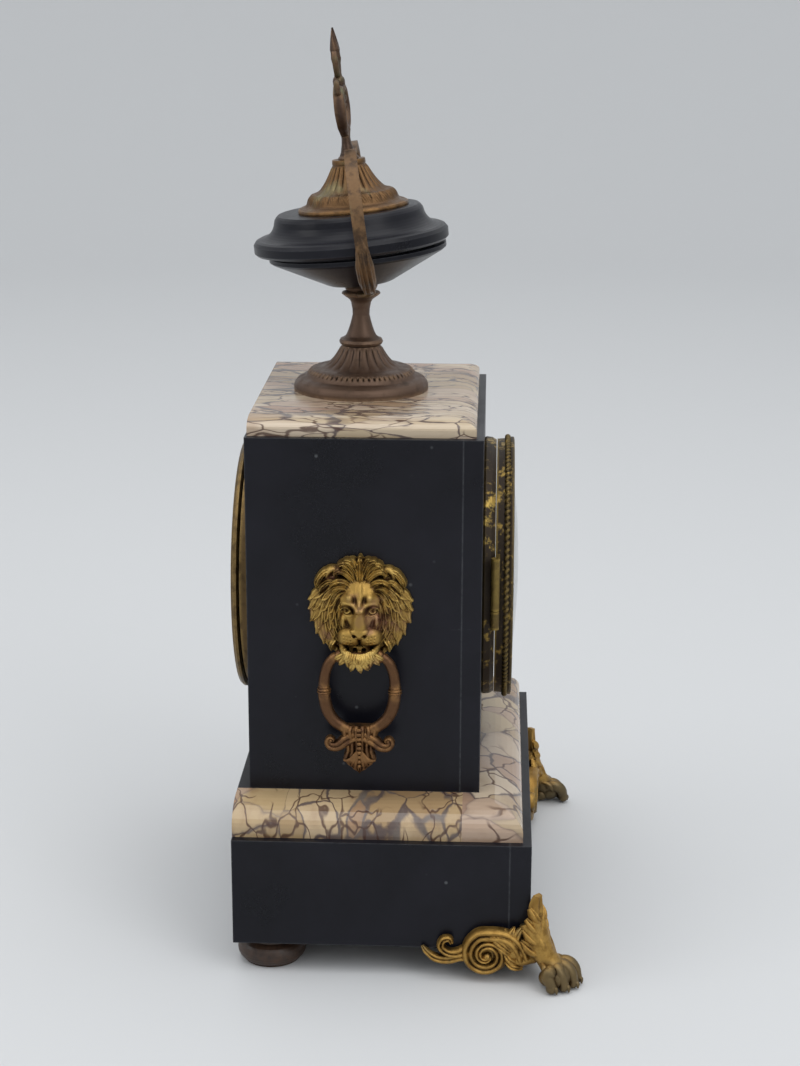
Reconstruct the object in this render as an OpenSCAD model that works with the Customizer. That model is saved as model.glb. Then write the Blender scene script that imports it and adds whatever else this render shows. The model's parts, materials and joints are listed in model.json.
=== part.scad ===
/* [Case body] */
// Width of the upright slate body
body_w = 156; // [154:1:164]
// Depth of the body, front face to back face
body_d = 112; // [110:1:120]
// Height of the body
body_h = 175.5; // [170:0.5:200]
// Thickness of the slate walls
slab_t = 9.5; // [8:0.5:11]
// Height of the dial centre above the foot of the body
dial_up = 92.4; // [91:0.2:100]

/* [Base] */
// Width of the slate base
base_w = 214; // [210:1:230]
// Height of the slate base, without the marble step
base_h = 53.5; // [50:0.5:60]
// Distance the base stands out in front of the body
base_front = 25.4; // [22:0.2:30]
// Distance the base stands out behind the body
base_rear = 6; // [4:0.5:10]
// Height of the marble step round the foot of the body
step_h = 15; // [12:0.5:18]
// Height of the feet under the base
foot_h = 15.5; // [14:0.5:20]

/* [Front and back covers] */
// Outer radius of the fixed front ring and of the glazed door
bezel_r = 65.5; // [64:0.5:68]
// Outer radius of the hinged back cover
cover_r = 63.5; // [62:0.5:65]

/* [Urn] */
// Lean of the bowl, cap and handles towards the back, in degrees
urn_lean = 5.6; // [0:0.2:6]
// Extra backward bend of the finial, in degrees
finial_lean = 1.4; // [0:0.2:3]
// Turn of the two handles about the axis of the urn, in degrees
handle_turn = 3; // [-4:1:6]
// Forward slant of the pair of handles against the urn, in degrees
handle_slant = 2.3; // [1:0.1:4]
// How far the upper stone of the urn has slipped back on the bowl
dish_slip = 2.6; // [0:0.2:4]

/* [Hidden] */
$fn = 96;
slate = "#1c1d22";
marble = "#cdbfae";
gilt = "#9a7a35";
bronze = "#5a4335";
brass = "#b08d45";
steel = "#6b7078";
fit = 0.1;                    // running clearance on a radius

// Levels and faces, in the frame of the case: Y is zero at the middle of the body
z_base = foot_h;
z_step = z_base + base_h;
z_body = z_step + step_h;
z_top = z_body + body_h;
z_dial = z_body + dial_up;
half_w = body_w / 2;
y_front = -body_d / 2;
y_back = body_d / 2;
half_base = base_w / 2;
yb_front = y_front - base_front;
yb_back = y_back + base_rear;
marble_t = 8;                 // thickness of the top marble slab
marble_in = 3.5;              // width of slate left showing round the top marble
step_in = 4.2;                // width of slate left showing round the marble step
base_front_t = 10.3;          // thickness of the front slab of the base
hole_r = 56;                  // hole in the front and back slabs
paw_reach = 26.6;             // how far a paw stands out past the faces of the base
cover_y = y_back + 9.5;       // rear face of the back cover
// The middle of the whole object's box, front paws to back cover, is Y zero
shift_y = ((-yb_front + paw_reach) - cover_y) / 2;

// ---------------------------------------------------------------- helpers
module place() { translate([0, shift_y, 0]) children(); }
// A flat shape drawn in X and Z, extruded backwards from the plane y0
module sheet(y0, t) {
    translate([0, y0 + t, 0]) rotate([90, 0, 0]) linear_extrude(t) children();
}
// A round bar along Y at x, z
module bar(x, z, y0, y1, r, n = 48) {
    translate([x, y1, z]) rotate([90, 0, 0]) cylinder(r = r, h = y1 - y0, $fn = n);
}
// A profile of [radius, y] points turned about the Y line through x, z
module turned_y(points, x = 0, z = z_dial) {
    translate([x, 0, z]) rotate([-90, 0, 0]) rotate_extrude()
        polygon([for (p = points) [p[0], p[1]]]);
}
function arc(cx, cy, r, a0, a1, n = 8) =
    [for (i = [0:n]) let (a = a0 + (a1 - a0) * i / n) [cx + r * cos(a), cy + r * sin(a)]];
module box(p, q) { translate(p) cube(q - p); }
module mirrored_x(right) { if (right) mirror([1, 0, 0]) children(); else children(); }

// ---------------------------------------------------------------- slate base
module base_front_slab() color(slate)
    box([-half_base, yb_front, z_base], [half_base, yb_front + base_front_t, z_step]);
module base_side_slab(right) color(slate) mirrored_x(right)
    box([-half_base, yb_front + base_front_t, z_base], [-half_base + 10, yb_back, z_step]);
module base_back_slab() color(slate)
    box([-half_base + 10, yb_back - 10, z_base], [half_base - 10, yb_back, z_step]);
module base_top_slab() color(slate) {
    // a plate inside the walls, with the raised block that carries the body
    box([-half_base + 10, yb_front + base_front_t, z_step - 9],
        [half_base - 10, yb_back - 10, z_step]);
    box([-half_w, y_front, z_step], [half_w, yb_back, z_body]);
}
module base_board() color("#6b4a2c")
    box([-half_base + 10, yb_front + base_front_t, z_base],
        [half_base - 10, yb_back - 10, z_base + 6]);

// ---------------------------------------------------------------- marble
// Outline of the moulded edge: [distance in from the edge, height], full height h
function moulding(run, rise, fillet) =
    concat([[0, 0], [0, fillet]],
        [for (i = [1:8]) [run * (1 - cos(90 * i / 8)), fillet + rise * sin(90 * i / 8)]]);
step_run = 17;
module step_profile(w) {
    polygon(concat(moulding(step_run, step_h - 5, 5), [[w, step_h], [w, 0]]));
}
step_side_w = (half_base - step_in) - half_w;
step_joint_y = y_front + 8;   // the side strips butt against the front strip here
module step_marble_side(right) color(marble) mirrored_x(right)
    translate([-half_base + step_in, yb_back, z_step]) rotate([90, 0, 0])
        linear_extrude(yb_back - step_joint_y) step_profile(step_side_w);
module step_marble_front() color(marble) {
    long = base_w - 2 * step_in;
    edge = moulding(step_run, step_h - 5, 5);
    difference() {
        intersection() {
            translate([-long / 2, yb_front + step_in, z_step]) rotate([90, 0, 90])
                linear_extrude(long) step_profile(step_joint_y - yb_front - step_in);
            // the two ends have the same moulding
            translate([0, step_joint_y, z_step]) rotate([90, 0, 0])
                linear_extrude(step_joint_y - yb_front) polygon(concat(
                    [for (p = edge) [p[0] - long / 2, p[1]]],
                    [for (i = [len(edge) - 1:-1:0]) [long / 2 - edge[i][0], edge[i][1]]]));
        }
        box([-half_w, y_front, z_step - 1], [half_w, y_front + 20, z_body + 1]);
    }
}
top_run = 12;
module top_marble_slab() color(marble) {
    w = body_w - 2 * marble_in;
    y0 = y_front + marble_in;
    y1 = y_back - 1;
    m = moulding(top_run, marble_t - 3.6, 3.6);
    difference() {
        intersection() {
            translate([0, y1, z_top]) rotate([90, 0, 0]) linear_extrude(y1 - y0)
                polygon(concat([for (p = m) [p[0] - w / 2, p[1]]],
                    [for (i = [len(m) - 1:-1:0]) [w / 2 - m[i][0], m[i][1]]]));
            translate([-w / 2, y0, z_top]) rotate([90, 0, 90]) linear_extrude(w)
                polygon(concat(m, [[y1 - y0, marble_t], [y1 - y0, 0]]));
        }
        translate([0, urn_y, z_top - 1]) cylinder(r = rod_r + fit, h = marble_t + 2);
    }
}

// ---------------------------------------------------------------- slate body
module body_front_slab() color(slate) difference() {
    box([-half_w, y_front, z_body], [half_w, y_front + slab_t, z_top]);
    bar(0, z_dial, y_front - 1, y_front + slab_t + 1, hole_r);
}
module body_side_slab(right) color(slate) mirrored_x(right)
    box([-half_w, y_front + slab_t, z_body], [-half_w + slab_t, y_back, z_top]);
module body_back_slab() color(slate) difference() {
    box([-half_w + slab_t, y_back - slab_t, z_body], [half_w - slab_t, y_back, z_top]);
    bar(0, z_dial, y_back - slab_t - 1, y_back + 1, hole_r);
}
module body_top_slab() color(slate) difference() {
    box([-half_w + slab_t, y_front + slab_t, z_top - slab_t],
        [half_w - slab_t, y_back - slab_t, z_top]);
    translate([0, urn_y, z_top - 20]) cylinder(r = rod_r + fit, h = 30);
}

// ---------------------------------------------------------------- lion masks and rings
mask_y = 1.5;
mask_z = z_body + 96.7;        // middle of the lion's face
ring_z = z_body + 72.7;        // axis of the ring's top bar, in the jaws
ring_x = -half_w - 11;        // the ring hangs in this plane
ring_rr = 16.25;              // radius of the round of the ring, on the wire's centre
bar_half = 10;                // half the length of the ring's straight top bar
wire_r = 2.75;
ring_cz = ring_z - 21.3;      // centre of the round
arm_up = 4.8;                 // height above it where the straight arms begin
arm_y = sqrt(ring_rr * ring_rr - arm_up * arm_up);
module lion_mask(right) color(gilt) mirrored_x(right) difference() {
    union() {
        translate([-half_w, mask_y, mask_z + 1]) rotate([0, -90, 0]) rotate_extrude()
            polygon(concat([[0, 0], [25, 0]],
                [for (i = [0:8]) [25 * cos(i * 11.25), 3 + 8 * sin(i * 11.25)]]));
        // muzzle and jaws that hold the bar
        box([-half_w - 15, mask_y - 6.2, ring_z - 5], [-half_w, mask_y + 6.2, ring_z + 16]);
        translate([-half_w - 11, mask_y, ring_z + 14]) sphere(r = 7, $fn = 48);
        // crest of the mane
        translate([-half_w, mask_y, mask_z + 22]) rotate([0, -90, 0])
            cylinder(r1 = 8, r2 = 6, h = 5);
        // beard
        translate([-half_w, mask_y, ring_z - 2]) rotate([0, -90, 0])
            cylinder(r1 = 9, r2 = 6, h = 5);
    }
    translate([ring_x, mask_y - 30, ring_z]) rotate([-90, 0, 0])
        cylinder(r = wire_r + fit, h = 60);
    // room for the ring's arms where they leave the jaws
    for (s = [-1, 1]) translate([ring_x, mask_y + s * (bar_half + 0.5), ring_z])
        rotate([-90 * s, 0, 0]) translate([0, 0, -3.8]) cylinder(r = 6.5, h = 20);
}
module ring_handle(right) color(gilt) mirrored_x(right) {
    lean = atan2(arm_y - bar_half, ring_z - ring_cz - arm_up);
    long = norm([arm_y - bar_half, ring_z - ring_cz - arm_up]);
    difference() {
        translate([ring_x, mask_y, ring_cz]) rotate([0, 90, 0]) rotate_extrude()
            translate([ring_rr, 0]) circle(r = wire_r, $fn = 32);
        box([ring_x - 5, mask_y - 25, ring_cz + arm_up], [ring_x + 5, mask_y + 25, ring_z + 9]);
    }
    for (s = [-1, 1]) {
        // a collar on each side, then a thinner straight arm up to the end of the bar
        translate([ring_x, mask_y + s * arm_y, ring_cz + arm_up]) {
            sphere(r = wire_r + 0.35, $fn = 48);
            rotate([s * lean, 0, 0]) cylinder(r = wire_r - 0.2, h = long);
        }
        translate([ring_x, mask_y + s * bar_half, ring_z]) sphere(r = wire_r + 0.2, $fn = 48);
    }
    translate([ring_x, mask_y - bar_half, ring_z]) rotate([-90, 0, 0])
        cylinder(r = wire_r, h = 2 * bar_half);
    // the leaf that hangs from the foot of the ring
    translate([ring_x + 2.2, mask_y, ring_cz - ring_rr]) rotate([90, 0, -90])
        linear_extrude(4.6) union() {
            polygon([[-6, 3], [6, 3], [5, -5], [8, -13], [0, -20], [-8, -13], [-5, -5]]);
            for (s = [-1, 1]) {
                polygon([[0, 0], [s * 11, -6], [s * 13, -10], [s * 3, -8]]);
                translate([s * 12.5, -8]) circle(r = 3);
            }
        }
}

// ---------------------------------------------------------------- feet
// Side wing of a paw foot: x runs along the face away from the corner, y is the height
module wing_outline() {
    difference() {
        union() {
            translate([20.4, 13.7]) circle(r = 12.2);
            polygon([[-2, 31], [4, 30], [12, 26.5], [22, 25.6], [31, 19], [36, 19.5],
                [42, 17.5], [46, 13.5], [52, 17], [46, 10.8], [38, 10], [31, 11],
                [22, 4], [12, 8], [4, 7], [-2, 8]]);
            translate([40, 20.5]) circle(r = 2.9);
        }
        translate([0, -40]) square([80, 40.6]);
    }
}
module paw_foot(right) color(gilt) mirrored_x(right)
translate([-half_base, yb_front, 0]) {
    wing_t = 7;
    // one wing on the side face, one on the front face
    rotate([90, 0, 90]) translate([0, 0, -wing_t]) linear_extrude(wing_t) wing_outline();
    translate([0, 0, 0]) rotate([90, 0, 0]) linear_extrude(wing_t) wing_outline();
    difference() {
        union() {
            // leaf at the corner, leg and paw
            hull() {
                translate([-4, -4, 42]) sphere(r = 3, $fn = 32);
                translate([-7, -7, 24]) sphere(r = 7.5, $fn = 32);
            }
            hull() {
                translate([-7, -7, 24]) sphere(r = 7.5, $fn = 32);
                translate([-8.5, -12, 8]) sphere(r = 6.5, $fn = 32);
            }
            hull() {
                translate([-8.5, -12, 7]) sphere(r = 8, $fn = 32);
                for (toe = [[-14.4, -11.6], [-11.5, -17.5], [-4, -21.2]])
                    translate([toe[0], toe[1], 5.3]) sphere(r = 5.3, $fn = 32);
            }
        }
        box([0, 0, -1], [30, 30, 60]);
        translate([-60, -60, -20]) cube([120, 120, 20]);
        box([-60, -60, -1], [60, -paw_reach, 60]);
        box([-60, -60, -1], [-paw_reach, 60, 60]);
    }
}
bun_x = 88;
bun_y = yb_back - 17;
module bun_foot(right) color("#33231b") mirrored_x(right)
    translate([-bun_x, bun_y, 0]) rotate_extrude()
        polygon(concat([[0, 0], [13.6, 0]], arc(11, 5.8, 5.8, -63, 60, 8),
            [[12.6, 11.5], [12.6, 12.8], [15.2, foot_h], [0, foot_h]]));

// ---------------------------------------------------------------- urn
urn_y = 6;                    // axis of the urn
urn_z = z_top + marble_t;
knee = 52.5;                  // height above the marble where the urn starts to lean
rod_r = 2;
module turned(points) { rotate_extrude() polygon(points); }
module on_marble() { translate([0, urn_y, urn_z]) children(); }
module leaned() { on_marble() translate([0, 0, knee]) rotate([-urn_lean, 0, 0]) children(); }
module urn_foot() color(bronze) on_marble() turned(concat(
    [[rod_r + fit, 0], [33.4, 0], [33.4, 2.4]], arc(29.5, 2.2, 3.9, 0, 65, 5),
    [[28.4, 6.4], [27.2, 6.8]], arc(23.2, 7.2, 3.4, 10, 95, 5),
    [for (i = [1:9]) let (t = i / 9) [22 - 12.6 * pow(t, 0.62), 10.9 + 11.1 * pow(t, 1.45)]],
    [[rod_r + fit, 22]]));
module urn_stem() color(bronze) difference() {
    union() {
        on_marble() turned(concat([[0, 22], [8.6, 22]], arc(9.2, 23.8, 1.7, -60, 80, 6),
            [for (i = [1:8]) let (t = i / 8) [9 - 4.8 * pow(t, 0.55), 25.5 + 11.5 * t]],
            [[4.3, 40], [5.2, 44.2], [5.6, 44.8], [9.5, 47.6], [9.5, 48.2], [6, 49.4], [0, 49.4]]));
        // the knob at the top is square to the bowl
        leaned() turned(concat([[0, -4.5], [5, -4.5]], arc(5.4, -1.5, 2.7, -50, 50, 6),
            [[6, 0.6], [0, 0.6]]));
    }
    on_marble() cylinder(r = rod_r + 0.6, h = knee + 5);
}
bowl_h = 17.5;
module urn_bowl() color(slate) leaned() turned(
    [[rod_r + fit, 0.6], [15.5, 0.6], [17, 1.2], [42.4, bowl_h - 3.4], [43.6, bowl_h - 2.4],
     [43.6, bowl_h - 0.4], [42.6, bowl_h], [rod_r + fit, bowl_h]]);
dish_z = bowl_h;
dish_top = dish_z + 19.4;
module urn_dish() color(slate) leaned() difference() {
    translate([0, dish_slip, 0]) turned(concat(
    [[0, dish_z], [41, dish_z], [41, dish_z + 1.4], [46.6, dish_z + 1.4],
     [47.8, dish_z + 2.6], [47.8, dish_z + 6.4], [46.6, dish_z + 8], [45.2, dish_z + 8.6]],
    [for (i = [1:8]) let (a = i * 10) [45.2 - 8.6 * sin(a), dish_z + 8.6 + 9.2 * (1 - cos(a))]],
    [[36.4, dish_z + 17.4], [35.6, dish_top - 0.9], [34.6, dish_top], [0, dish_top]]));
    translate([0, 0, dish_z - 1]) cylinder(r = rod_r + fit, h = dish_top - dish_z + 2);
}
module urn_cap() color(gilt) leaned() turned(concat(
    [[rod_r + fit, dish_top], [26.9, dish_top], [26.9, dish_top + 1.8], [25.6, dish_top + 3],
     [23.8, dish_top + 3.2], [23.2, dish_top + 4]],
    arc(20, 4.8 + dish_top, 3, 20, 80, 4),
    [for (i = [1:9]) let (t = i / 9) [19.6 - 11.4 * pow(t, 0.7), dish_top + 8.2 + 13 * pow(t, 1.3)]],
    [[8, dish_top + 21.4], [8, dish_top + 24], [rod_r + fit, dish_top + 24]]));
finial_z = dish_top + 24;
// Flat openwork ornament: a baluster with a pair of scrolls on each side
module urn_finial() color(bronze) leaned() translate([0, 0, finial_z]) difference() {
    union() {
        turned([[0, 0], [6.8, 0], [6.8, 1], [0, 1]]);
        rotate([-finial_lean, 0, 0]) {
            turned([[0, 0.5], [6.6, 0.5], [6.6, 1], [4.6, 4], [3.2, 8], [2.9, 12], [3.6, 16], [2.8, 18],
                [2.6, 34], [3.9, 35], [3.9, 38.4], [2.7, 39.6], [2.3, 44], [3, 49], [2.6, 53],
                [1.6, 58], [0.4, 62.4], [0, 62.4]]);
            translate([0, 2.6, 0]) rotate([90, 0, 0]) linear_extrude(5.2) for (s = [-1, 1]) {
                polygon([[0, 12], [s * 7, 15], [s * 14, 20], [s * 16.5, 27], [s * 13, 33], [s * 7, 35.5],
                    [0, 35.5], [0, 31], [s * 6, 31.5], [s * 10, 29], [s * 11.6, 25.5], [s * 9.5, 21.5],
                    [s * 5, 18.5], [0, 17]]);
                polygon([[0, 38], [s * 6, 43], [s * 8, 50], [s * 5.4, 48], [s * 3, 46], [0, 45]]);
            }
        }
    }
    translate([0, 0, -1]) cylinder(r = rod_r + fit, h = 4.5);
}
// Strap handle, drawn as a C in the plane of the urn's axis
handle_w = 5.4;
function handle_path(s) = [[8.1, -2.2 - s], [19 + s, -0.5 - s], [33, 4.5 - s], [45, 11.5 - s],
    [53 + s, 20], [55.2 + s, 29], [53.4 + s, 39.5], [48.4 + s, 49.5], [41 + s, 58],
    [32 + s, 63.4 + s], [24, 65.4 + s], [16, 64.6 + s], [11, 62.8 + s], [6.95, 61.1 + s]];
module urn_handle(right) color(bronze) leaned()
translate([0, -2, finial_z]) rotate([-handle_slant, 0, handle_turn]) translate([0, 0, -finial_z])
mirror([right ? 0 : 1, 0, 0]) {
    inner = handle_path(0);
    outer = handle_path(1.7);
    n = len(inner);
    translate([0, handle_w / 2, 0]) rotate([90, 0, 0]) linear_extrude(handle_w)
        polygon(concat(inner, [for (i = [n - 1:-1:0]) outer[i]]));
}
module urn_tie_rod() color(steel) {
    translate([0, urn_y, z_top - slab_t - 8]) cylinder(r = rod_r, h = slab_t + 8 + marble_t + knee);
    // above the knee the rod is bent, and a little thinner
    leaned() sphere(r = rod_r + 0.08);
    leaned() cylinder(r = rod_r - 0.2, h = finial_z + 3);
    // nut under the slate top
    difference() {
        translate([0, urn_y, z_top - slab_t - 5]) cylinder(r = 6, h = 5, $fn = 6);
        translate([0, urn_y, z_top - slab_t - 6]) cylinder(r = rod_r - 0.5, h = 7);
    }
}

// ---------------------------------------------------------------- front ring and glazed door
ring_y = y_front - 6;         // front of the fixed ring
door_y = y_front - 15;        // front of the glazed door
hinge_x = -bezel_r - 2.5;
hinge_y = ring_y - 0.2;
knuckle_r = 2.1;
pin_r = 0.9;
module bezel_ring() color(brass) {
    turned_y([[53.6, y_front + 8], [55.4, y_front + 8], [55.4, y_front], [bezel_r - 0.6, y_front],
        [bezel_r, y_front - 1], [bezel_r - 0.4, y_front - 4], [bezel_r - 1.6, ring_y],
        [57.4, ring_y], [57, ring_y + 1], [53.6, ring_y + 1]]);
    difference() {
        union() {
            translate([hinge_x, hinge_y, z_dial - 12]) cylinder(r = knuckle_r, h = 9);
            box([hinge_x, hinge_y + 0.4, z_dial - 12], [-bezel_r + 2, hinge_y + 2, z_dial - 3]);
        }
        translate([hinge_x, hinge_y, z_dial - 13]) cylinder(r = pin_r, h = 12);
    }
}
module bezel_door() color(brass) {
    back = ring_y - 0.4;
    turned_y([[56.6, back], [64.3, back], [64.6, door_y + 5], [bezel_r, door_y + 1.2],
        [bezel_r - 0.2, door_y + 0.3], [bezel_r - 1.4, door_y], [bezel_r - 3, door_y + 0.3],
        [60, door_y + 2], [58.2, door_y + 2.6], [58.2, door_y + 3.6], [56.6, door_y + 3.6]]);
    difference() {
        union() {
            translate([hinge_x, hinge_y, z_dial - 2.6]) cylinder(r = knuckle_r, h = 26);
            box([hinge_x, hinge_y - 2, z_dial - 2.6], [-bezel_r + 8, hinge_y - 0.3, z_dial + 23.4]);
        }
        translate([hinge_x, hinge_y, z_dial - 4]) cylinder(r = pin_r + fit, h = 30);
    }
}
module bezel_hinge_pin() color(steel)
    translate([hinge_x, hinge_y, z_dial - 12]) cylinder(r = pin_r, h = 35);
glass_r = 58;
glass_sag = 5;
glass_t = 1.5;
glass_rho = (glass_r * glass_r + glass_sag * glass_sag) / (2 * glass_sag);
// Section of one face of the domed glass, d in front of the back face
function glass_skin(d) = [for (i = [0:10]) let (r = glass_r * i / 10)
    [r, door_y + 3.6 - d - (sqrt(glass_rho * glass_rho - r * r) - (glass_rho - glass_sag))]];
module bezel_glass() color("#c8d8dc", 0.4)
    turned_y(concat(glass_skin(0), [for (i = [10:-1:0]) glass_skin(glass_t)[i]]));

// ---------------------------------------------------------------- dial and hands
dial_y = y_front - 3.5;       // front of the dial
dial_r = 53;
wind_x = 21;                  // winding squares, seen from the front
wind_z = -13;
wind_r = 4;
module dial() color("#ece5d3") difference() {
    turned_y([[0, dial_y], [dial_r, dial_y], [dial_r, dial_y + 1.5], [0, dial_y + 1.5]]);
    bar(0, z_dial, dial_y - 1, dial_y + 3, 3.6);
    for (s = [-1, 1]) bar(s * wind_x, z_dial + wind_z, dial_y - 1, dial_y + 3, wind_r);
}
cannon_r = 2.2;
pipe_r = 3.3;
// A hand drawn upwards from its boss, with a pierced round eye near the tip
module hand_outline(long, eye, boss) {
    difference() {
        union() {
            circle(r = boss);
            polygon([[-1.3, 0], [1.3, 0], [0.9, long - eye * 3], [-0.9, long - eye * 3]]);
            translate([0, long - eye * 3.4]) circle(r = eye);
            polygon([[-0.9, long - eye * 2.6], [0.9, long - eye * 2.6], [0, long]]);
            polygon([[-1.2, 0], [1.2, 0], [0.8, -boss - 5], [-0.8, -boss - 5]]);
        }
        translate([0, long - eye * 3.4]) circle(r = eye * 0.55);
    }
}
module minute_hand() color("#15161a") sheet(dial_y - 5, 1) translate([0, z_dial])
    rotate(minute_rest) difference() { hand_outline(45, 3, 4); circle(r = cannon_r - 0.7); }
module hour_hand() color("#15161a") sheet(dial_y - 2.6, 1) translate([0, z_dial])
    rotate(hour_rest) difference() { hand_outline(31, 3.6, 4.8); circle(r = pipe_r + 0.02); }
minute_rest = -60;            // ten past ten
hour_rest = 55;

// ---------------------------------------------------------------- wheels
// A gear drawn flat: straight-sided teeth with running backlash
function tooth(r0, rp, r1, step, a) = [for (q = [[r0, -0.3], [rp, -0.19], [r1, -0.1],
    [r1, 0.1], [rp, 0.19], [r0, 0.3]]) [q[0] * cos(a + q[1] * step), q[0] * sin(a + q[1] * step)]];
module gear(teeth, m, phase = 0) {
    rp = teeth * m / 2;
    polygon([for (i = [0:teeth - 1]) each tooth(rp - 1.15 * m, rp, rp + 0.85 * m,
        360 / teeth, phase + i * 360 / teeth)]);
}
// Phase of gear b so that its gap meets a tooth of gear a, in the direction dir from a to b
function mesh(ta, pa, tb, dir) = dir + 180 + (180 + ta * (dir - pa)) / tb;
module spokes(r_hub, r_rim, count, w) {
    difference() {
        circle(r = r_rim);
        circle(r = r_hub);
        for (i = [0:count - 1]) rotate(i * 360 / count) translate([0, -w / 2]) square([r_rim + 2, w]);
    }
}
module wheel(x, z, y0, t, teeth, m, phase, crossings = 5) {
    rp = teeth * m / 2;
    sheet(y0, t) translate([x, z_dial + z]) difference() {
        gear(teeth, m, phase);
        spokes(rp * 0.24, rp * 0.82, crossings, rp * 0.13);
    }
}
module pinion(x, z, y0, t, teeth, m, phase) {
    sheet(y0, t) translate([x, z_dial + z]) gear(teeth, m, phase);
}
module arbor(x, z, y0, y1, r = 1) bar(x, z_dial + z, y0, y1, r, 24);

// Layers between the plates
plate_r = 49;
plate_t = 2;
yp_front = y_front + 4;       // front of the front plate
yp_back = y_front + 36;       // front of the back plate
y_great = y_front + 21;
y_mid = y_front + 27.5;
y_centre = y_front + 31.5;
y_third = y_front + 9;
y_scape = y_front + 32;
// Tooth counts and modules
t_great = 72;
m_great = 0.55;
t_leaf = 12;
t_mid = 72;
m_mid = 0.5;
t_cp = 12;
t_centre = 70;
m_fine = 0.5;
t_fp = 10;
t_third = 48;
t_cannon = 12;
t_minute = 36;
m_motion = 0.6;
t_mp = 10;
t_hour = 40;
// Places of the arbors, measured from the centre of the dial
d_barrel = (t_great + t_leaf) * m_great / 2;
d_mid = (t_mid + t_cp) * m_mid / 2;
d_arm = norm([wind_x, wind_z]);
along = (d_mid * d_mid - d_barrel * d_barrel + d_arm * d_arm) / (2 * d_arm);
across = sqrt(d_mid * d_mid - along * along);
mid_x = along * wind_x / d_arm - across * wind_z / d_arm;
mid_z = along * wind_z / d_arm + across * wind_x / d_arm;
third_z = (t_centre + t_fp) * m_fine / 2;
scape_z = third_z + (t_third + t_fp) * m_fine / 2;
anchor_z = scape_z + 10;
motion_z = -(t_cannon + t_minute) * m_motion / 2;
m_hour = -2 * motion_z / (t_mp + t_hour);
bell_y = 12;                  // mouth of the bell
bell_z = 14;
bell_r = 27;
hammer_x = -44;
hammer_z = 8;
// Directions from one arbor to the next
dir_mid = atan2(mid_z, mid_x);
dir_barrel = atan2(wind_z - mid_z, wind_x - mid_x);
// Phases at rest: the centre wheel's pieces start at zero
ph_mid_wheel = mesh(t_cp, 0, t_mid, dir_mid);
ph_barrel = mesh(t_leaf, 0, t_great, dir_barrel);
ph_third_p = mesh(t_centre, 0, t_fp, 90);
ph_scape_p = mesh(t_third, 0, t_fp, 90);
ph_minute = mesh(t_cannon, 0, t_minute, -90);
ph_hour = mesh(t_mp, 0, t_hour, 90);

module centre_wheel() color(brass) {
    wheel(0, 0, y_centre, 1.4, t_centre, m_fine, 0);
    pinion(0, 0, y_mid - 1, 4.2, t_cp, m_mid, 0);
    arbor(0, 0, dial_y - 4.6, yp_back + plate_t + 1, 1.2);
}
module intermediate_wheel() color(brass) {
    wheel(mid_x, mid_z, y_mid, 1.4, t_mid, m_mid, ph_mid_wheel);
    pinion(mid_x, mid_z, y_great - 1, 4, t_leaf, m_great, 0);
    arbor(mid_x, mid_z, yp_front, yp_back + plate_t);
}
module third_wheel() color(brass) {
    wheel(0, third_z, y_third, 1.4, t_third, m_fine, 0);
    pinion(0, third_z, y_centre - 1, 3.4, t_fp, m_fine, ph_third_p);
    arbor(0, third_z, yp_front, yp_back + plate_t);
}
scape_r = 8;
module escape_wheel() color(brass) {
    sheet(y_scape, 1.2) translate([0, z_dial + scape_z]) difference() {
        union() {
            circle(r = 6.2);
            for (i = [0:23]) rotate(i * 15)
                polygon([[5.9, -0.7], [scape_r, 0.35], [scape_r, 0.65], [5.9, 0.75]]);
        }
        spokes(2.4, 5, 4, 1.2);
    }
    pinion(0, scape_z, y_third - 1, 3.4, t_fp, m_fine, ph_scape_p);
    arbor(0, scape_z, yp_front, yp_back + plate_t);
}
module barrel(side, phase) {
    x = side * wind_x;
    zc = z_dial + wind_z;
    difference() {
        union() {
            bar(x, zc, y_front + 7, y_great, 16.5, 96);
            sheet(y_great, 2) translate([x, zc]) gear(t_great, m_great, phase);
        }
        // the hollow that holds the mainspring, round its arbor
        difference() {
            bar(x, zc, y_front + 8.5, y_great - 1.5, 15, 96);
            bar(x, zc, y_front + 8, y_great, 4.5, 48);
        }
    }
    arbor(x, wind_z, yp_front + 0.2, yp_back + plate_t, 2.4);
    sheet(dial_y + 0.1, yp_front + 0.2 - dial_y - 0.1) translate([x, zc]) square(3.2, center = true);
}
module going_barrel() color(brass) barrel(1, ph_barrel);
module strike_barrel() color(brass) barrel(-1, 180 - ph_barrel);
module pin_wheel() color(brass) {
    wheel(-mid_x, mid_z, y_mid - 2.6, 1.3, t_mid, m_mid, 0);
    pinion(-mid_x, mid_z, y_great - 1, 3.9, t_leaf, m_great, 180);
    arbor(-mid_x, mid_z, yp_front, yp_back + plate_t);
    for (i = [0:7]) rotate_about(-mid_x, z_dial + mid_z, i * 45)
        bar(-mid_x + 16.2, z_dial + mid_z, y_mid - 4, y_mid - 2, 0.7, 24);
}
module rotate_about(x, z, a) {
    translate([x, 0, z]) rotate([0, a, 0]) translate([-x, 0, -z]) children();
}

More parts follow.
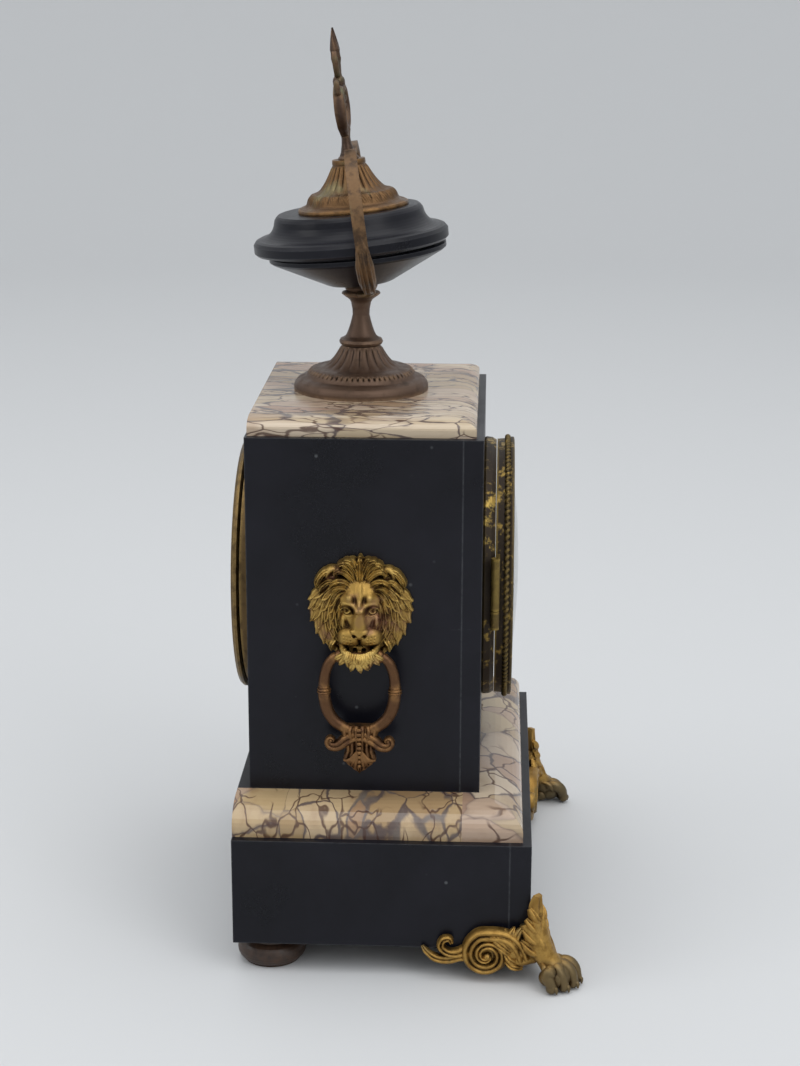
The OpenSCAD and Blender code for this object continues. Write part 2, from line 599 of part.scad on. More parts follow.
// ---------------------------------------------------------------- motion work
y_motion = yp_front - 1.8;
module cannon_pinion() color(brass) {
    difference() {
        union() {
            pinion(0, 0, y_motion, 1.4, t_cannon, m_motion, 0);
            bar(0, z_dial, dial_y - 5.6, y_motion, cannon_r - 0.7);
        }
        bar(0, z_dial, dial_y - 7, yp_front, 1.2, 24);
    }
}
module minute_wheel() color(brass) {
    wheel(0, motion_z, y_motion + 0.1, 1.2, t_minute, m_motion, ph_minute, 4);
    pinion(0, motion_z, y_motion - 2.2, 2.6, t_mp, m_hour, 0);
    arbor(0, motion_z, y_motion - 2.2, yp_front + plate_t);
}
module hour_wheel() color(brass) {
    difference() {
        union() {
            wheel(0, 0, y_motion - 2, 1.2, t_hour, m_hour, ph_hour, 4);
            bar(0, z_dial, dial_y - 3, y_motion - 0.8, pipe_r);
        }
        bar(0, z_dial, dial_y - 6, y_motion + 1, cannon_r - 0.7 + fit);
    }
}

// ---------------------------------------------------------------- plates and escapement
anchor_y = yp_back + plate_t;
pivots = [[0, 0, 1.2], [mid_x, mid_z, 1], [-mid_x, mid_z, 1], [0, third_z, 1], [0, scape_z, 1],
    [0, anchor_z, 1], [wind_x, wind_z, 2.4], [-wind_x, wind_z, 2.4], [hammer_x, hammer_z, 1]];
pillars = [[25, -38], [-25, -38], [38, 26], [-34, 32]];
module movement_plate(y0) difference() {
    sheet(y0, plate_t) translate([0, z_dial]) circle(r = plate_r);
    for (p = pivots) bar(p[0], z_dial + p[1], y0 - 1, y0 + 3, p[2] + fit, 24);
    for (p = pillars) bar(p[0], z_dial + p[1], y0 - 1, y0 + 3, 1.5, 24);
}
module front_plate() color(brass) difference() {
    movement_plate(yp_front);
    bar(0, z_dial + motion_z, yp_front - 1, yp_front + 3, 1 + fit, 24);
}
module back_plate() color(brass) movement_plate(yp_back);
module plate_pillars() color(brass) for (p = pillars) {
    bar(p[0], z_dial + p[1], yp_front + plate_t, yp_back, 3.2);
    bar(p[0], z_dial + p[1], yp_front, yp_back + plate_t, 1.5, 24);
}
// Two brass straps clamp the case between the front ring and the back ring
strap_x = 51;
module mounting_straps() color(brass) for (s = [-1, 1])
    box([s * strap_x - 0.8, y_front + 8.2, z_dial - 5], [s * strap_x + 0.8, y_back + 0.8, z_dial + 5]);
module anchor() color(steel) {
    arm = 7.6;
    sheet(y_scape, 1.2) translate([0, z_dial + anchor_z]) difference() {
        union() {
            circle(r = 1.6);
            for (s = [-1, 1]) polygon([[0, 1.6], [s * arm, -1.4], [s * (arm + 2.6), -6.4],
                [s * (arm + 1.6), -6.8], [s * (arm - 0.2), -3.4], [0, -1.2]]);
        }
    }
    arbor(0, anchor_z, yp_front, anchor_y + 4);
    // crutch with a fork round the pendulum rod
    sheet(anchor_y + 2, 1.2) translate([0, z_dial + anchor_z])
        polygon([[-1.2, 0], [1.2, 0], [1.2, -24], [3.4, -26], [3.4, -30], [-3.4, -30], [-3.4, -26],
            [-1.2, -24]]);
    for (s = [-1, 1]) sheet(anchor_y + 2, 8) translate([s * 2.8, z_dial + anchor_z - 28])
        square([1.2, 3], center = true);
}
susp_z = anchor_z + 1.5;
pend_y = anchor_y + 7.4;
pend_len = 118;
bob_r = 15;
module pendulum() color(brass) {
    zt = z_dial + susp_z;
    // suspension spring, rod, bob and rating nut
    box([-1.5, pend_y - 0.2, zt - 14], [1.5, pend_y + 0.2, zt]);
    bar(0, zt, pend_y - 2.5, pend_y + 2.5, 0.45, 24);
    translate([0, pend_y, zt - pend_len - bob_r - 3]) cylinder(r = 1.3, h = pend_len + bob_r - 7, $fn = 32);
    translate([0, 0, zt - pend_len]) turned_y([[0, pend_y - 3.6], [bob_r - 2.6, pend_y - 3.6],
        [bob_r - 1, pend_y - 3], [bob_r, pend_y - 1.8], [bob_r, pend_y + 1.8],
        [bob_r - 1, pend_y + 3], [bob_r - 2.6, pend_y + 3.6], [0, pend_y + 3.6]], 0, 0);
    translate([0, pend_y, zt - pend_len - bob_r - 2.4]) cylinder(r = 2.6, h = 1.8, $fn = 32);
}
module suspension_cock() color(brass) {
    zt = z_dial + susp_z;
    box([-7, anchor_y, zt + 0.5], [7, anchor_y + 2, zt + 8]);
    difference() {
        box([-4, anchor_y + 2, zt + 0.5], [4, pend_y + 4, zt + 5]);
        box([-1.8, pend_y - 0.6, zt], [1.8, pend_y + 0.6, zt + 2]);
    }
    // cheeks behind the arbor that tie the cock down to the plate
    for (s = [-1, 1])
        box([s * 6 - 1, anchor_y, z_dial + anchor_z - 8], [s * 6 + 1, anchor_y + 2, zt + 0.6]);
}

// ---------------------------------------------------------------- bell and hammer
module bell() color("#b9b3a3") {
    turned_y(concat(arc(0, bell_y, bell_r, 0, 86, 12), arc(0, bell_y, bell_r - 1.8, 86, 0, 12)),
        0, z_dial + bell_z);
    // stand from the back plate to the crown of the bell
    foot = z_dial + bell_z - 34;
    bar(0, z_dial + bell_z, anchor_y + 13, bell_y + bell_r + 3, 2, 32);
    box([-2, anchor_y + 12, foot], [2, anchor_y + 14, z_dial + bell_z + 3]);
    box([-2, anchor_y + 12, foot], [18, anchor_y + 14, foot + 4]);
    box([14, anchor_y, foot], [18, anchor_y + 14, foot + 4]);
}
module hammer() color(steel) {
    arbor(hammer_x, hammer_z, yp_front, bell_y + 3);
    head = [-bell_r - 5.4, bell_z + 4];
    sheet(bell_y, 2) translate([0, z_dial]) {
        polygon([[hammer_x - 1, hammer_z], [hammer_x + 1, hammer_z],
            [head[0] + 0.8, head[1]], [head[0] - 1.2, head[1]]]);
        translate([hammer_x, hammer_z]) circle(r = 2.6);
    }
    bar(head[0], z_dial + head[1], bell_y - 2, bell_y + 4, 3.6);
    // tail towards the pins of the pin wheel
    sheet(y_mid - 3.9, 0.8) translate([hammer_x, z_dial + hammer_z]) {
        circle(r = 2.4);
        polygon([[0, -1.1], [6.2, -0.6], [6.2, 0.8], [0, 1.1]]);
    }
}

// ---------------------------------------------------------------- back ring and cover
back_hinge_x = cover_r + 2.6;
back_hinge_y = y_back + 6;
module back_ring() color(brass) {
    turned_y([[53.4, y_back + 0.8], [55.4, y_back - 6], [55.4, y_back], [cover_r - 2, y_back],
        [cover_r - 1.6, y_back + 1], [cover_r - 2.2, y_back + 5.6], [55.8, y_back + 5.6]]);
    for (z = [-10, 4]) {
        translate([back_hinge_x, back_hinge_y, z_dial + z]) cylinder(r = knuckle_r, h = 6);
        box([cover_r - 4, back_hinge_y - 2, z_dial + z],
            [back_hinge_x, back_hinge_y - 0.5, z_dial + z + 6]);
    }
    // pin through the knuckle of the cover
    translate([back_hinge_x, back_hinge_y, z_dial - 10]) cylinder(r = pin_r, h = 20);
}
module back_door() color(brass) {
    y0 = y_back + 6.1;
    turned_y([[0, y0 + 1.2], [50, y0 + 1.2], [54, y0], [cover_r - 1.4, y0], [cover_r, y0 + 0.8],
        [cover_r, y0 + 2], [cover_r - 1.2, cover_y], [cover_r - 4, cover_y], [55, y0 + 2.2],
        [0, y0 + 2.6]]);
    // hinge knuckle between those of the ring, with its leaf
    difference() {
        union() {
            translate([back_hinge_x, back_hinge_y, z_dial - 3.7]) cylinder(r = knuckle_r, h = 7.4);
            box([cover_r - 3, back_hinge_y + 0.4, z_dial - 3.7],
                [back_hinge_x, back_hinge_y + 1.8, z_dial + 3.7]);
        }
        translate([back_hinge_x, back_hinge_y, z_dial - 5]) cylinder(r = pin_r + fit, h = 10);
    }
    // knob
    bar(-cover_r + 12, z_dial, y0 + 2, cover_y, 2.6, 32);
}

place() base_front_slab();
place() base_side_slab(false);  // base_left_slab
place() base_side_slab(true);  // base_right_slab
place() base_back_slab();
place() base_top_slab();
place() base_board();
place() step_marble_front();
place() step_marble_side(false);  // step_marble_left
place() step_marble_side(true);  // step_marble_right
place() body_front_slab();
place() body_side_slab(false);  // body_left_slab
place() body_side_slab(true);  // body_right_slab
place() body_back_slab();
place() body_top_slab();
place() top_marble_slab();
place() lion_mask(false);  // lion_mask_left
place() lion_mask(true);  // lion_mask_right
place() ring_handle(false);  // ring_handle_left
place() ring_handle(true);  // ring_handle_right
place() paw_foot(false);  // paw_foot_left
place() paw_foot(true);  // paw_foot_right
place() bun_foot(false);  // bun_foot_left
place() bun_foot(true);  // bun_foot_right
place() urn_foot();
place() urn_stem();
place() urn_bowl();
place() urn_dish();
place() urn_cap();
place() urn_finial();
place() urn_handle(false);  // urn_handle_left
place() urn_handle(true);  // urn_handle_right
place() urn_tie_rod();
place() bezel_ring();
place() bezel_door();
place() bezel_glass();
place() bezel_hinge_pin();
place() dial();
place() minute_hand();
place() hour_hand();
place() cannon_pinion();
place() minute_wheel();
place() hour_wheel();
place() front_plate();
place() back_plate();
place() plate_pillars();
place() mounting_straps();
place() centre_wheel();
place() intermediate_wheel();
place() third_wheel();
place() escape_wheel();
place() anchor();
place() going_barrel();
place() strike_barrel();
place() pin_wheel();
place() hammer();
place() bell();
place() pendulum();
place() suspension_cock();
place() back_ring();
place() back_door();
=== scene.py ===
import json
import math

import bmesh
import bpy
import numpy as np
from mathutils import Matrix, Vector


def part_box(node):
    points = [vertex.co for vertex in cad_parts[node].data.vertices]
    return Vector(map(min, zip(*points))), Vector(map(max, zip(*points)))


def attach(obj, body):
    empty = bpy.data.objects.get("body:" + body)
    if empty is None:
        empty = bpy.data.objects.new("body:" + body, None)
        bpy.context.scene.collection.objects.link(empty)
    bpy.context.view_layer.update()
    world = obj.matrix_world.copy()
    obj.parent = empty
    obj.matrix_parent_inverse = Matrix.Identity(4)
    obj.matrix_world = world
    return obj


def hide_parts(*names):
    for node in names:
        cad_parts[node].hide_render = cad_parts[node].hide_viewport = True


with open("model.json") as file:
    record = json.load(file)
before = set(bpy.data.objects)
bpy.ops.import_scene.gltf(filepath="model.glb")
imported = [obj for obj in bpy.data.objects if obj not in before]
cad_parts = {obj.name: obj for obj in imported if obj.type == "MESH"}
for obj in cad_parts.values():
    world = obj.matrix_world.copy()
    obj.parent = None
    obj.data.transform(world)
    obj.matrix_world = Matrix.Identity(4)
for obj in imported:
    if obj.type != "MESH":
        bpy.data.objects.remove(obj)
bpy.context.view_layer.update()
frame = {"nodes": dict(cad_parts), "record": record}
MM = 0.001


# ---------------------------------------------------------------- places taken from the frame
body_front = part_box("body_front_slab")[0].y
body_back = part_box("body_back_slab")[1].y
mid_y = (body_front + body_back) / 2      # middle of the upright body, front to back


# ---------------------------------------------------------------- camera, floor and light
SENSOR, LENS = 36, 70.92                   # millimetres
YAW, PITCH, ROLL = 0.045, 0.2745, 0.0028   # radians; yaw from +X, pitch downwards
CAMERA_AT = (-1.027, mid_y - 0.0598, 0.482)


def make_camera():
    """Looks along +X at the left side of the clock, a little from above."""
    data = bpy.data.cameras.new("camera")
    data.sensor_width = SENSOR
    data.lens = LENS
    data.clip_start, data.clip_end = 0.05, 20
    cam = bpy.data.objects.new("camera", data)
    bpy.context.scene.collection.objects.link(cam)
    ahead = Vector((math.cos(PITCH) * math.cos(YAW), math.cos(PITCH) * math.sin(YAW), -math.sin(PITCH)))
    right = ahead.cross(Vector((0, 0, 1))).normalized()
    up = right.cross(ahead)
    x_axis = math.cos(ROLL) * right + math.sin(ROLL) * up
    y_axis = -math.sin(ROLL) * right + math.cos(ROLL) * up
    cam.matrix_world = Matrix((x_axis, y_axis, -ahead)).transposed().to_4x4()
    cam.location = CAMERA_AT
    bpy.context.scene.camera = cam


def area_light(name, place, aim, size, power):
    data = bpy.data.lights.new(name, "AREA")
    data.shape = "RECTANGLE"
    data.size, data.size_y = size
    data.energy = power
    lamp = bpy.data.objects.new(name, data)
    lamp.location = place
    lamp.rotation_euler = (Vector(aim) - Vector(place)).to_track_quat("-Z", "Y").to_euler()
    bpy.context.scene.collection.objects.link(lamp)


def make_stage():
    """Pale room: an even world light, a floor that curves up far away, and three soft lights."""
    scene = bpy.context.scene
    scene.view_settings.view_transform = "Standard"
    world = bpy.data.worlds.new("room")
    scene.world = world
    world.use_nodes = True
    back = world.node_tree.nodes["Background"]
    back.inputs["Color"].default_value = (0.96, 0.98, 1.0, 1)
    back.inputs["Strength"].default_value = 0.84
    rings, spokes, r_flat, r_curve = 24, 96, 2.2, 1.6
    verts = [(0, 0, 0)]
    for i in range(rings + 1):
        t = i / rings
        a = t * math.pi / 2
        r = r_flat + r_curve * math.sin(a) if i else r_flat
        z = r_curve * (1 - math.cos(a))
        verts += [(r * math.cos(2 * math.pi * k / spokes), r * math.sin(2 * math.pi * k / spokes), z)
                  for k in range(spokes)]
    faces = [(0, 1 + k, 1 + (k + 1) % spokes) for k in range(spokes)]
    for i in range(rings):
        a, b = 1 + i * spokes, 1 + (i + 1) * spokes
        faces += [(a + k, b + k, b + (k + 1) % spokes, a + (k + 1) % spokes) for k in range(spokes)]
    mesh = bpy.data.meshes.new("floor")
    mesh.from_pydata(verts, [], faces)
    mesh.shade_smooth()
    floor = bpy.data.objects.new("floor", mesh)
    scene.collection.objects.link(floor)
    mat = bpy.data.materials.new("floor")
    mat.use_nodes = True
    shader = mat.node_tree.nodes["Principled BSDF"]
    shader.inputs["Base Color"].default_value = (0.6, 0.61, 0.62, 1)
    shader.inputs["Roughness"].default_value = 0.75
    mesh.materials.append(mat)
    area_light("overhead", (-0.3, -0.1, 2.0), (0, 0, 0.15), (1.8, 1.8), 15)
    area_light("front_left", (-1.5, -1.3, 1.5), (0, 0, 0.2), (1.2, 1.2), 10)
    area_light("rear", (-0.6, 1.7, 1.3), (0, 0, 0.25), (1.0, 1.2), 6)


make_camera()
make_stage()


# ---------------------------------------------------------------- materials
class Look:
    """One procedural material: a Principled shader and short names for the nodes that feed it."""

    def __init__(self, name, rough=0.5, metal=0.0, **sockets):
        self.mat = bpy.data.materials.new(name)
        self.mat.use_nodes = True
        self.tree = self.mat.node_tree
        self.shader = self.tree.nodes["Principled BSDF"]
        self.shader.inputs["Roughness"].default_value = rough
        self.shader.inputs["Metallic"].default_value = metal
        for key, value in sockets.items():
            self.shader.inputs[key.replace("_", " ")].default_value = value
        self.place = self.tree.nodes.new("ShaderNodeTexCoord").outputs["Object"]

    def add(self, kind, **props):
        node = self.tree.nodes.new(kind)
        for key, value in props.items():
            setattr(node, key, value)
        return node

    def put(self, socket, value):
        if isinstance(value, bpy.types.NodeSocket):
            self.tree.links.new(value, socket)
        elif hasattr(socket.default_value, "__len__") and not hasattr(value, "__len__"):
            socket.default_value = [value] * len(socket.default_value)
        elif hasattr(value, "__len__") and len(value) == 3 and len(socket.default_value) == 4:
            socket.default_value = (*value, 1)
        else:
            socket.default_value = value

    def scaled(self, size, turn=(0, 0, 0), shift=(0, 0, 0)):
        """Object coordinates in units of size."""
        node = self.add("ShaderNodeMapping")
        self.put(node.inputs["Vector"], self.place)
        sizes = size if hasattr(size, "__len__") else [size] * 3
        node.inputs["Scale"].default_value = [1 / s for s in sizes]
        node.inputs["Rotation"].default_value = turn
        node.inputs["Location"].default_value = shift
        return node.outputs["Vector"]

    def noise(self, size, detail=4, rough=0.55, turn=(0, 0, 0), shift=(0, 0, 0)):
        node = self.add("ShaderNodeTexNoise")
        self.put(node.inputs["Vector"], self.scaled(size, turn, shift))
        node.inputs["Scale"].default_value = 1
        node.inputs["Detail"].default_value = detail
        node.inputs["Roughness"].default_value = rough
        return node

    def cells(self, vector, feature="DISTANCE_TO_EDGE", random=1.0):
        node = self.add("ShaderNodeTexVoronoi", feature=feature)
        self.put(node.inputs["Vector"], vector)
        node.inputs["Scale"].default_value = 1
        node.inputs["Randomness"].default_value = random
        return node

    def math(self, op, a, b=0.5, clamp=False):
        node = self.add("ShaderNodeMath", operation=op, use_clamp=clamp)
        self.put(node.inputs[0], a)
        self.put(node.inputs[1], b)
        return node.outputs[0]

    def vector(self, op, a, b):
        node = self.add("ShaderNodeVectorMath", operation=op)
        self.put(node.inputs[0], a)
        if op == "SCALE":
            self.put(node.inputs["Scale"], b)
        else:
            self.put(node.inputs[1], b)
        return node.outputs[0]

    def warped(self, size, amount, warp_size, turn=(0, 0, 0), shift=(0, 0, 0), detail=2):
        """Coordinates in units of size, pushed about by a coarse noise."""
        push = self.noise(warp_size, detail=detail, shift=shift).outputs["Color"]
        push = self.vector("SCALE", self.vector("SUBTRACT", push, (0.5, 0.5, 0.5)), amount)
        return self.vector("ADD", self.scaled(size, turn, shift), push)

    def band(self, value, low, high, out_low=0.0, out_high=1.0):
        """A smooth step from out_low to out_high as the value goes from low to high."""
        node = self.add("ShaderNodeMapRange", interpolation_type="SMOOTHSTEP")
        self.put(node.inputs["Value"], value)
        for key, number in zip(("From Min", "From Max", "To Min", "To Max"), (low, high, out_low, out_high)):
            node.inputs[key].default_value = number
        return node.outputs["Result"]

    def mix(self, factor, a, b):
        node = self.add("ShaderNodeMix", data_type="RGBA", blend_type="MIX")
        self.put(node.inputs["Factor"], factor)
        self.put(node.inputs[6], a)
        self.put(node.inputs[7], b)
        return node.outputs[2]

    def ramp(self, value, *stops):
        node = self.add("ShaderNodeValToRGB")
        self.put(node.inputs["Fac"], value)
        items = node.color_ramp.elements
        while len(items) < len(stops):
            items.new(0.5)
        for item, (place, color) in zip(items, stops):
            item.position = place
            item.color = (*color, 1)
        return node.outputs["Color"]

    def edge(self, radius):
        """0 on flat faces, 1 where a sharp outer edge is within the radius."""
        bevel = self.add("ShaderNodeBevel", samples=6)
        bevel.inputs["Radius"].default_value = radius
        face = self.add("ShaderNodeNewGeometry").outputs["Normal"]
        node = self.add("ShaderNodeVectorMath", operation="DOT_PRODUCT")
        self.put(node.inputs[0], bevel.outputs["Normal"])
        self.put(node.inputs[1], face)
        return self.band(node.outputs["Value"], 0.995, 0.86)

    def cavity(self, distance, inside=False):
        """1 in the open, towards 0 in hollows; with inside=True, low near outer edges."""
        node = self.add("ShaderNodeAmbientOcclusion", samples=8, inside=inside, only_local=True)
        node.inputs["Distance"].default_value = distance
        return node.outputs["AO"]

    def color(self, value):
        self.put(self.shader.inputs["Base Color"], value)

    def rough(self, value):
        self.put(self.shader.inputs["Roughness"], value)

    def bump(self, height, depth, strength=1.0):
        node = self.add("ShaderNodeBump")
        node.inputs["Strength"].default_value = strength
        node.inputs["Distance"].default_value = depth
        self.put(node.inputs["Height"], height)
        self.put(self.shader.inputs["Normal"], node.outputs["Normal"])


def slate_look():
    """Black slate, faintly blue, with knocks, scuffs, and paler edges that are partly wear and partly a painted
    highlight.
    """
    look = Look("slate", rough=0.32, Specular_IOR_Level=0.22)
    cloud = look.noise(0.05, detail=6, rough=0.6).outputs["Fac"]
    base = look.ramp(cloud, (0.3, (0.0032, 0.0034, 0.006)), (0.7, (0.0085, 0.0086, 0.0135)))
    # pale specks and short scuffs left by knocks
    spot = look.cells(look.scaled(0.011), feature="F1")
    lot = look.noise(0.045, detail=2, shift=(3.1, 1.7, 0.4)).outputs["Fac"]
    chance = look.band(lot, 0.54, 0.66)
    speck = look.math("MULTIPLY", look.band(spot.outputs["Distance"], 0.11, 0.03), chance)
    drag = look.noise((0.02, 0.03, 0.004), detail=5, rough=0.75, turn=(0.5, 0.2, 0.3)).outputs["Fac"]
    scuff = look.math("MULTIPLY", look.band(drag, 0.66, 0.76), look.band(cloud, 0.5, 0.62))
    # paler edges: partly wear, partly a painted highlight along the edges, broken into dashes by the grit
    worn_edge_and_highlight = look.edge(0.0011)
    grit = look.noise(0.0022, detail=3).outputs["Fac"]
    worn_edge_and_highlight = look.math("MULTIPLY", worn_edge_and_highlight, look.band(grit, 0.3, 0.6, 0.4, 1.0))
    pale = look.math("MAXIMUM", look.math("MULTIPLY", speck, 0.38), look.math("MULTIPLY", scuff, 0.16))
    pale = look.math("MAXIMUM", pale, look.math("MULTIPLY", worn_edge_and_highlight, 0.2))
    look.color(look.mix(pale, base, (0.2, 0.21, 0.22)))
    fine = look.noise(0.0015, detail=3).outputs["Fac"]
    look.rough(look.band(look.math("ADD", look.math("MULTIPLY", fine, 0.3), cloud), 0.4, 0.95, 0.26, 0.42))
    wavy = look.math("ADD", look.math("MULTIPLY", cloud, 0.5), look.math("MULTIPLY", fine, 0.04))
    look.bump(wavy, 0.0006, 0.35)
    return look.mat


def marble_look(name, size, turn=(0, 0, 0), shift=(0, 0, 0), tone=(1, 1, 1)):
    """Cream breccia: pale pebbles set in mauve-grey veins, with thin dark brown cracks."""
    look = Look(name, rough=0.16, Specular_IOR_Level=0.45, Coat_Weight=0.12, Coat_Roughness=0.15)
    where = look.warped(size, 0.9, [s * 1.6 for s in size], turn, shift, detail=3)
    big = look.cells(where, random=0.95)
    tint = look.cells(where, feature="F1", random=0.95).outputs["Color"]
    part = look.add("ShaderNodeSeparateColor")
    look.put(part.inputs[0], tint)
    cloud = look.noise(size, detail=6, rough=0.6, turn=turn, shift=shift).outputs["Fac"]

    def toned(r, g, b):
        return r * tone[0], g * tone[1], b * tone[2]

    pebble = look.ramp(part.outputs[0], (0.0, toned(0.30, 0.20, 0.12)), (0.35, toned(0.48, 0.38, 0.25)),
                       (0.7, toned(0.54, 0.44, 0.33)), (1.0, toned(0.36, 0.24, 0.17)))
    pebble = look.mix(look.band(cloud, 0.45, 0.75, 0, 0.6), pebble, toned(0.30, 0.19, 0.12))
    width = look.band(cloud, 0.38, 0.68, 0.025, 0.15)
    wide = look.math("SUBTRACT", 1, look.math("DIVIDE", big.outputs["Distance"], width), clamp=True)
    wide = look.math("MULTIPLY", wide, look.band(part.outputs[1], 0.15, 0.6, 0.35, 1.0))
    vein = look.ramp(cloud, (0.3, (0.085, 0.05, 0.035)), (0.5, (0.09, 0.065, 0.065)),
                     (0.75, (0.19, 0.165, 0.14)))
    stone = look.mix(look.band(wide, 0.05, 0.75, 0, 0.92), pebble, vein)
    # hair cracks
    fine_at = look.warped([s * 0.8 for s in size], 1.4, [s * 0.9 for s in size], turn, (shift[0] + 5, 2, 1))
    fine = look.cells(fine_at, random=1.0).outputs["Distance"]
    broken = look.noise([s * 1.7 for s in size], detail=2, shift=(shift[0] + 9, 4, 6)).outputs["Fac"]
    crack = look.math("MULTIPLY", look.band(fine, 0.05, 0.01), look.band(broken, 0.42, 0.52))
    stone = look.mix(look.math("MULTIPLY", crack, 0.85), stone, (0.075, 0.035, 0.025))
    look.color(stone)
    look.rough(look.band(look.noise(0.004, detail=3).outputs["Fac"], 0.3, 0.7, 0.13, 0.24))
    look.bump(look.math("MULTIPLY", crack, -1), 0.0002, 0.5)
    return look.mat


HOLLOW = 0.004                       # metres over which a hollow in cast metal gets painted shade
TOE_TOP, TOE_BACK = 0.0165, -0.062   # the bare toes lie below this height and in front of this Y


# dark is both the painted shade of the hollows and the colour of the dark mottled patches
def cast_look(name, highlight, body, dark, metal=0.85, rough=(0.3, 0.55), tint=None, tint_share=0.0, toes=None):
    """Old cast metal: painted highlights on proud parts, painted shade in the hollows, with patches of tint.

    With a colour for toes, the gilding is gone near the floor in front of the base.
    """
    look = Look(name, metal=metal)
    open_air = look.cavity(HOLLOW)
    proud = look.cavity(HOLLOW * 0.6, inside=True)
    mottle = look.noise(0.006, detail=6, rough=0.65).outputs["Fac"]
    patch = look.noise(0.02, detail=4, rough=0.6).outputs["Fac"]
    # painted shade: the dark colour fills the hollows found by ambient occlusion, the body colour stays in the open
    shade = look.mix(look.band(open_air, 0.55, 0.95), dark, body)
    # painted highlight: proud parts near outer edges take the brightest colour, broken up by the mottle
    proud_highlight = look.math("MULTIPLY", look.band(proud, 0.95, 0.6), look.band(mottle, 0.35, 0.6))
    shade = look.mix(proud_highlight, shade, highlight)
    shade = look.mix(look.band(mottle, 0.52, 0.72, 0, 0.45), shade, dark)
    if tint:
        least = 0.62 - tint_share * 0.3
        shade = look.mix(look.band(patch, least, least + 0.16, 0, 0.75), shade, tint)
    if toes:
        axes = look.add("ShaderNodeSeparateXYZ")
        look.put(axes.inputs[0], look.place)
        bare = look.math("MULTIPLY", look.band(axes.outputs["Z"], TOE_TOP, TOE_TOP - 0.005),
                         look.band(axes.outputs["Y"], TOE_BACK, TOE_BACK - 0.006))
        # painted shade in the hollows of the bare toes as well
        dull = look.mix(look.band(open_air, 0.5, 0.95), dark, toes)
        shade = look.mix(look.math("MULTIPLY", bare, 0.85), shade, dull)
    look.color(shade)
    look.rough(look.band(mottle, 0.3, 0.75, *rough))
    fine = look.noise(0.0006, detail=4, rough=0.7).outputs["Fac"]
    look.bump(look.math("ADD", fine, look.math("MULTIPLY", mottle, 1.5)), 0.00025, 0.5)
    return look.mat


def machined_look(name, color, dark, rough=0.3, metal=1.0):
    """Turned or rolled sheet metal with fine marks and a little tarnish."""
    look = Look(name, metal=metal)
    spots = 0.5
    cloud = look.noise(0.012, detail=6, rough=0.65).outputs["Fac"]
    spot = look.noise(0.0018, detail=4, rough=0.7).outputs["Fac"]
    shade = look.mix(look.band(cloud, 0.45, 0.75, 0, spots), color, dark)
    shade = look.mix(look.band(spot, 0.62, 0.7, 0, spots), shade, dark)
    look.color(shade)
    look.rough(look.band(cloud, 0.3, 0.8, rough * 0.8, rough * 1.6))
    look.bump(spot, 0.0001, 0.3)
    return look.mat


def patchy_look(name, gilt, bare):
    """Gilding worn off in patches down to black, tarnished brass, with gilt colour painted along proud edges as a
    highlight.
    """
    look = Look(name, metal=0.7)
    coarse = look.noise(0.016, detail=3, rough=0.5).outputs["Fac"]
    fine = look.noise(0.0045, detail=6, rough=0.7).outputs["Fac"]
    left = look.band(look.math("ADD", look.math("MULTIPLY", coarse, 0.6), fine), 0.84, 1.0)
    # painted highlight: gilt colour along proud edges, at half strength
    proud_highlight = look.math("MULTIPLY", look.band(look.cavity(0.0015, inside=True), 0.9, 0.5), 0.5)
    gold = look.mix(look.band(fine, 0.4, 0.7), gilt, (gilt[0] * 0.55, gilt[1] * 0.5, gilt[2] * 0.5))
    look.color(look.mix(look.math("MAXIMUM", left, proud_highlight, clamp=True), bare, gold))
    look.rough(look.band(left, 0, 1, 0.5, 0.32))
    look.bump(look.math("ADD", fine, left), 0.0002, 0.5)
    return look.mat


def glass_look():
    """Old clear glass with a little dust."""
    look = Look("glass", rough=0.02, Transmission_Weight=1.0, IOR=1.3)
    dust = look.noise(0.012, detail=6, rough=0.7).outputs["Fac"]
    look.rough(look.band(dust, 0.4, 0.8, 0.01, 0.07))
    look.color(look.ramp(dust, (0.3, (0.97, 0.99, 0.98)), (0.8, (0.9, 0.92, 0.9))))
    return look.mat


def wood_look():
    """Dark stained board, its grain along X."""
    look = Look("dark_wood", rough=0.4)
    grain = look.noise((0.02, 0.003, 0.003), detail=6, rough=0.6).outputs["Fac"]
    look.color(look.ramp(grain, (0.3, (0.018, 0.009, 0.005)), (0.7, (0.06, 0.03, 0.016))))
    look.rough(look.band(grain, 0.3, 0.7, 0.34, 0.5))
    look.bump(grain, 0.0004, 0.4)
    return look.mat


def enamel_look():
    """Cream enamel with a few hair cracks."""
    look = Look("dial_enamel", rough=0.12, Coat_Weight=0.5)
    cloud = look.noise(0.03, detail=5).outputs["Fac"]
    hair = look.cells(look.warped([0.03] * 3, 0.5, [0.03] * 3), random=1.0).outputs["Distance"]
    base = look.ramp(cloud, (0.3, (0.72, 0.67, 0.55)), (0.7, (0.79, 0.75, 0.65)))
    line = look.math("MULTIPLY", look.band(hair, 0.012, 0.003), look.band(cloud, 0.55, 0.6))
    look.color(look.mix(look.math("MULTIPLY", line, 0.4), base, (0.25, 0.2, 0.15)))
    return look.mat
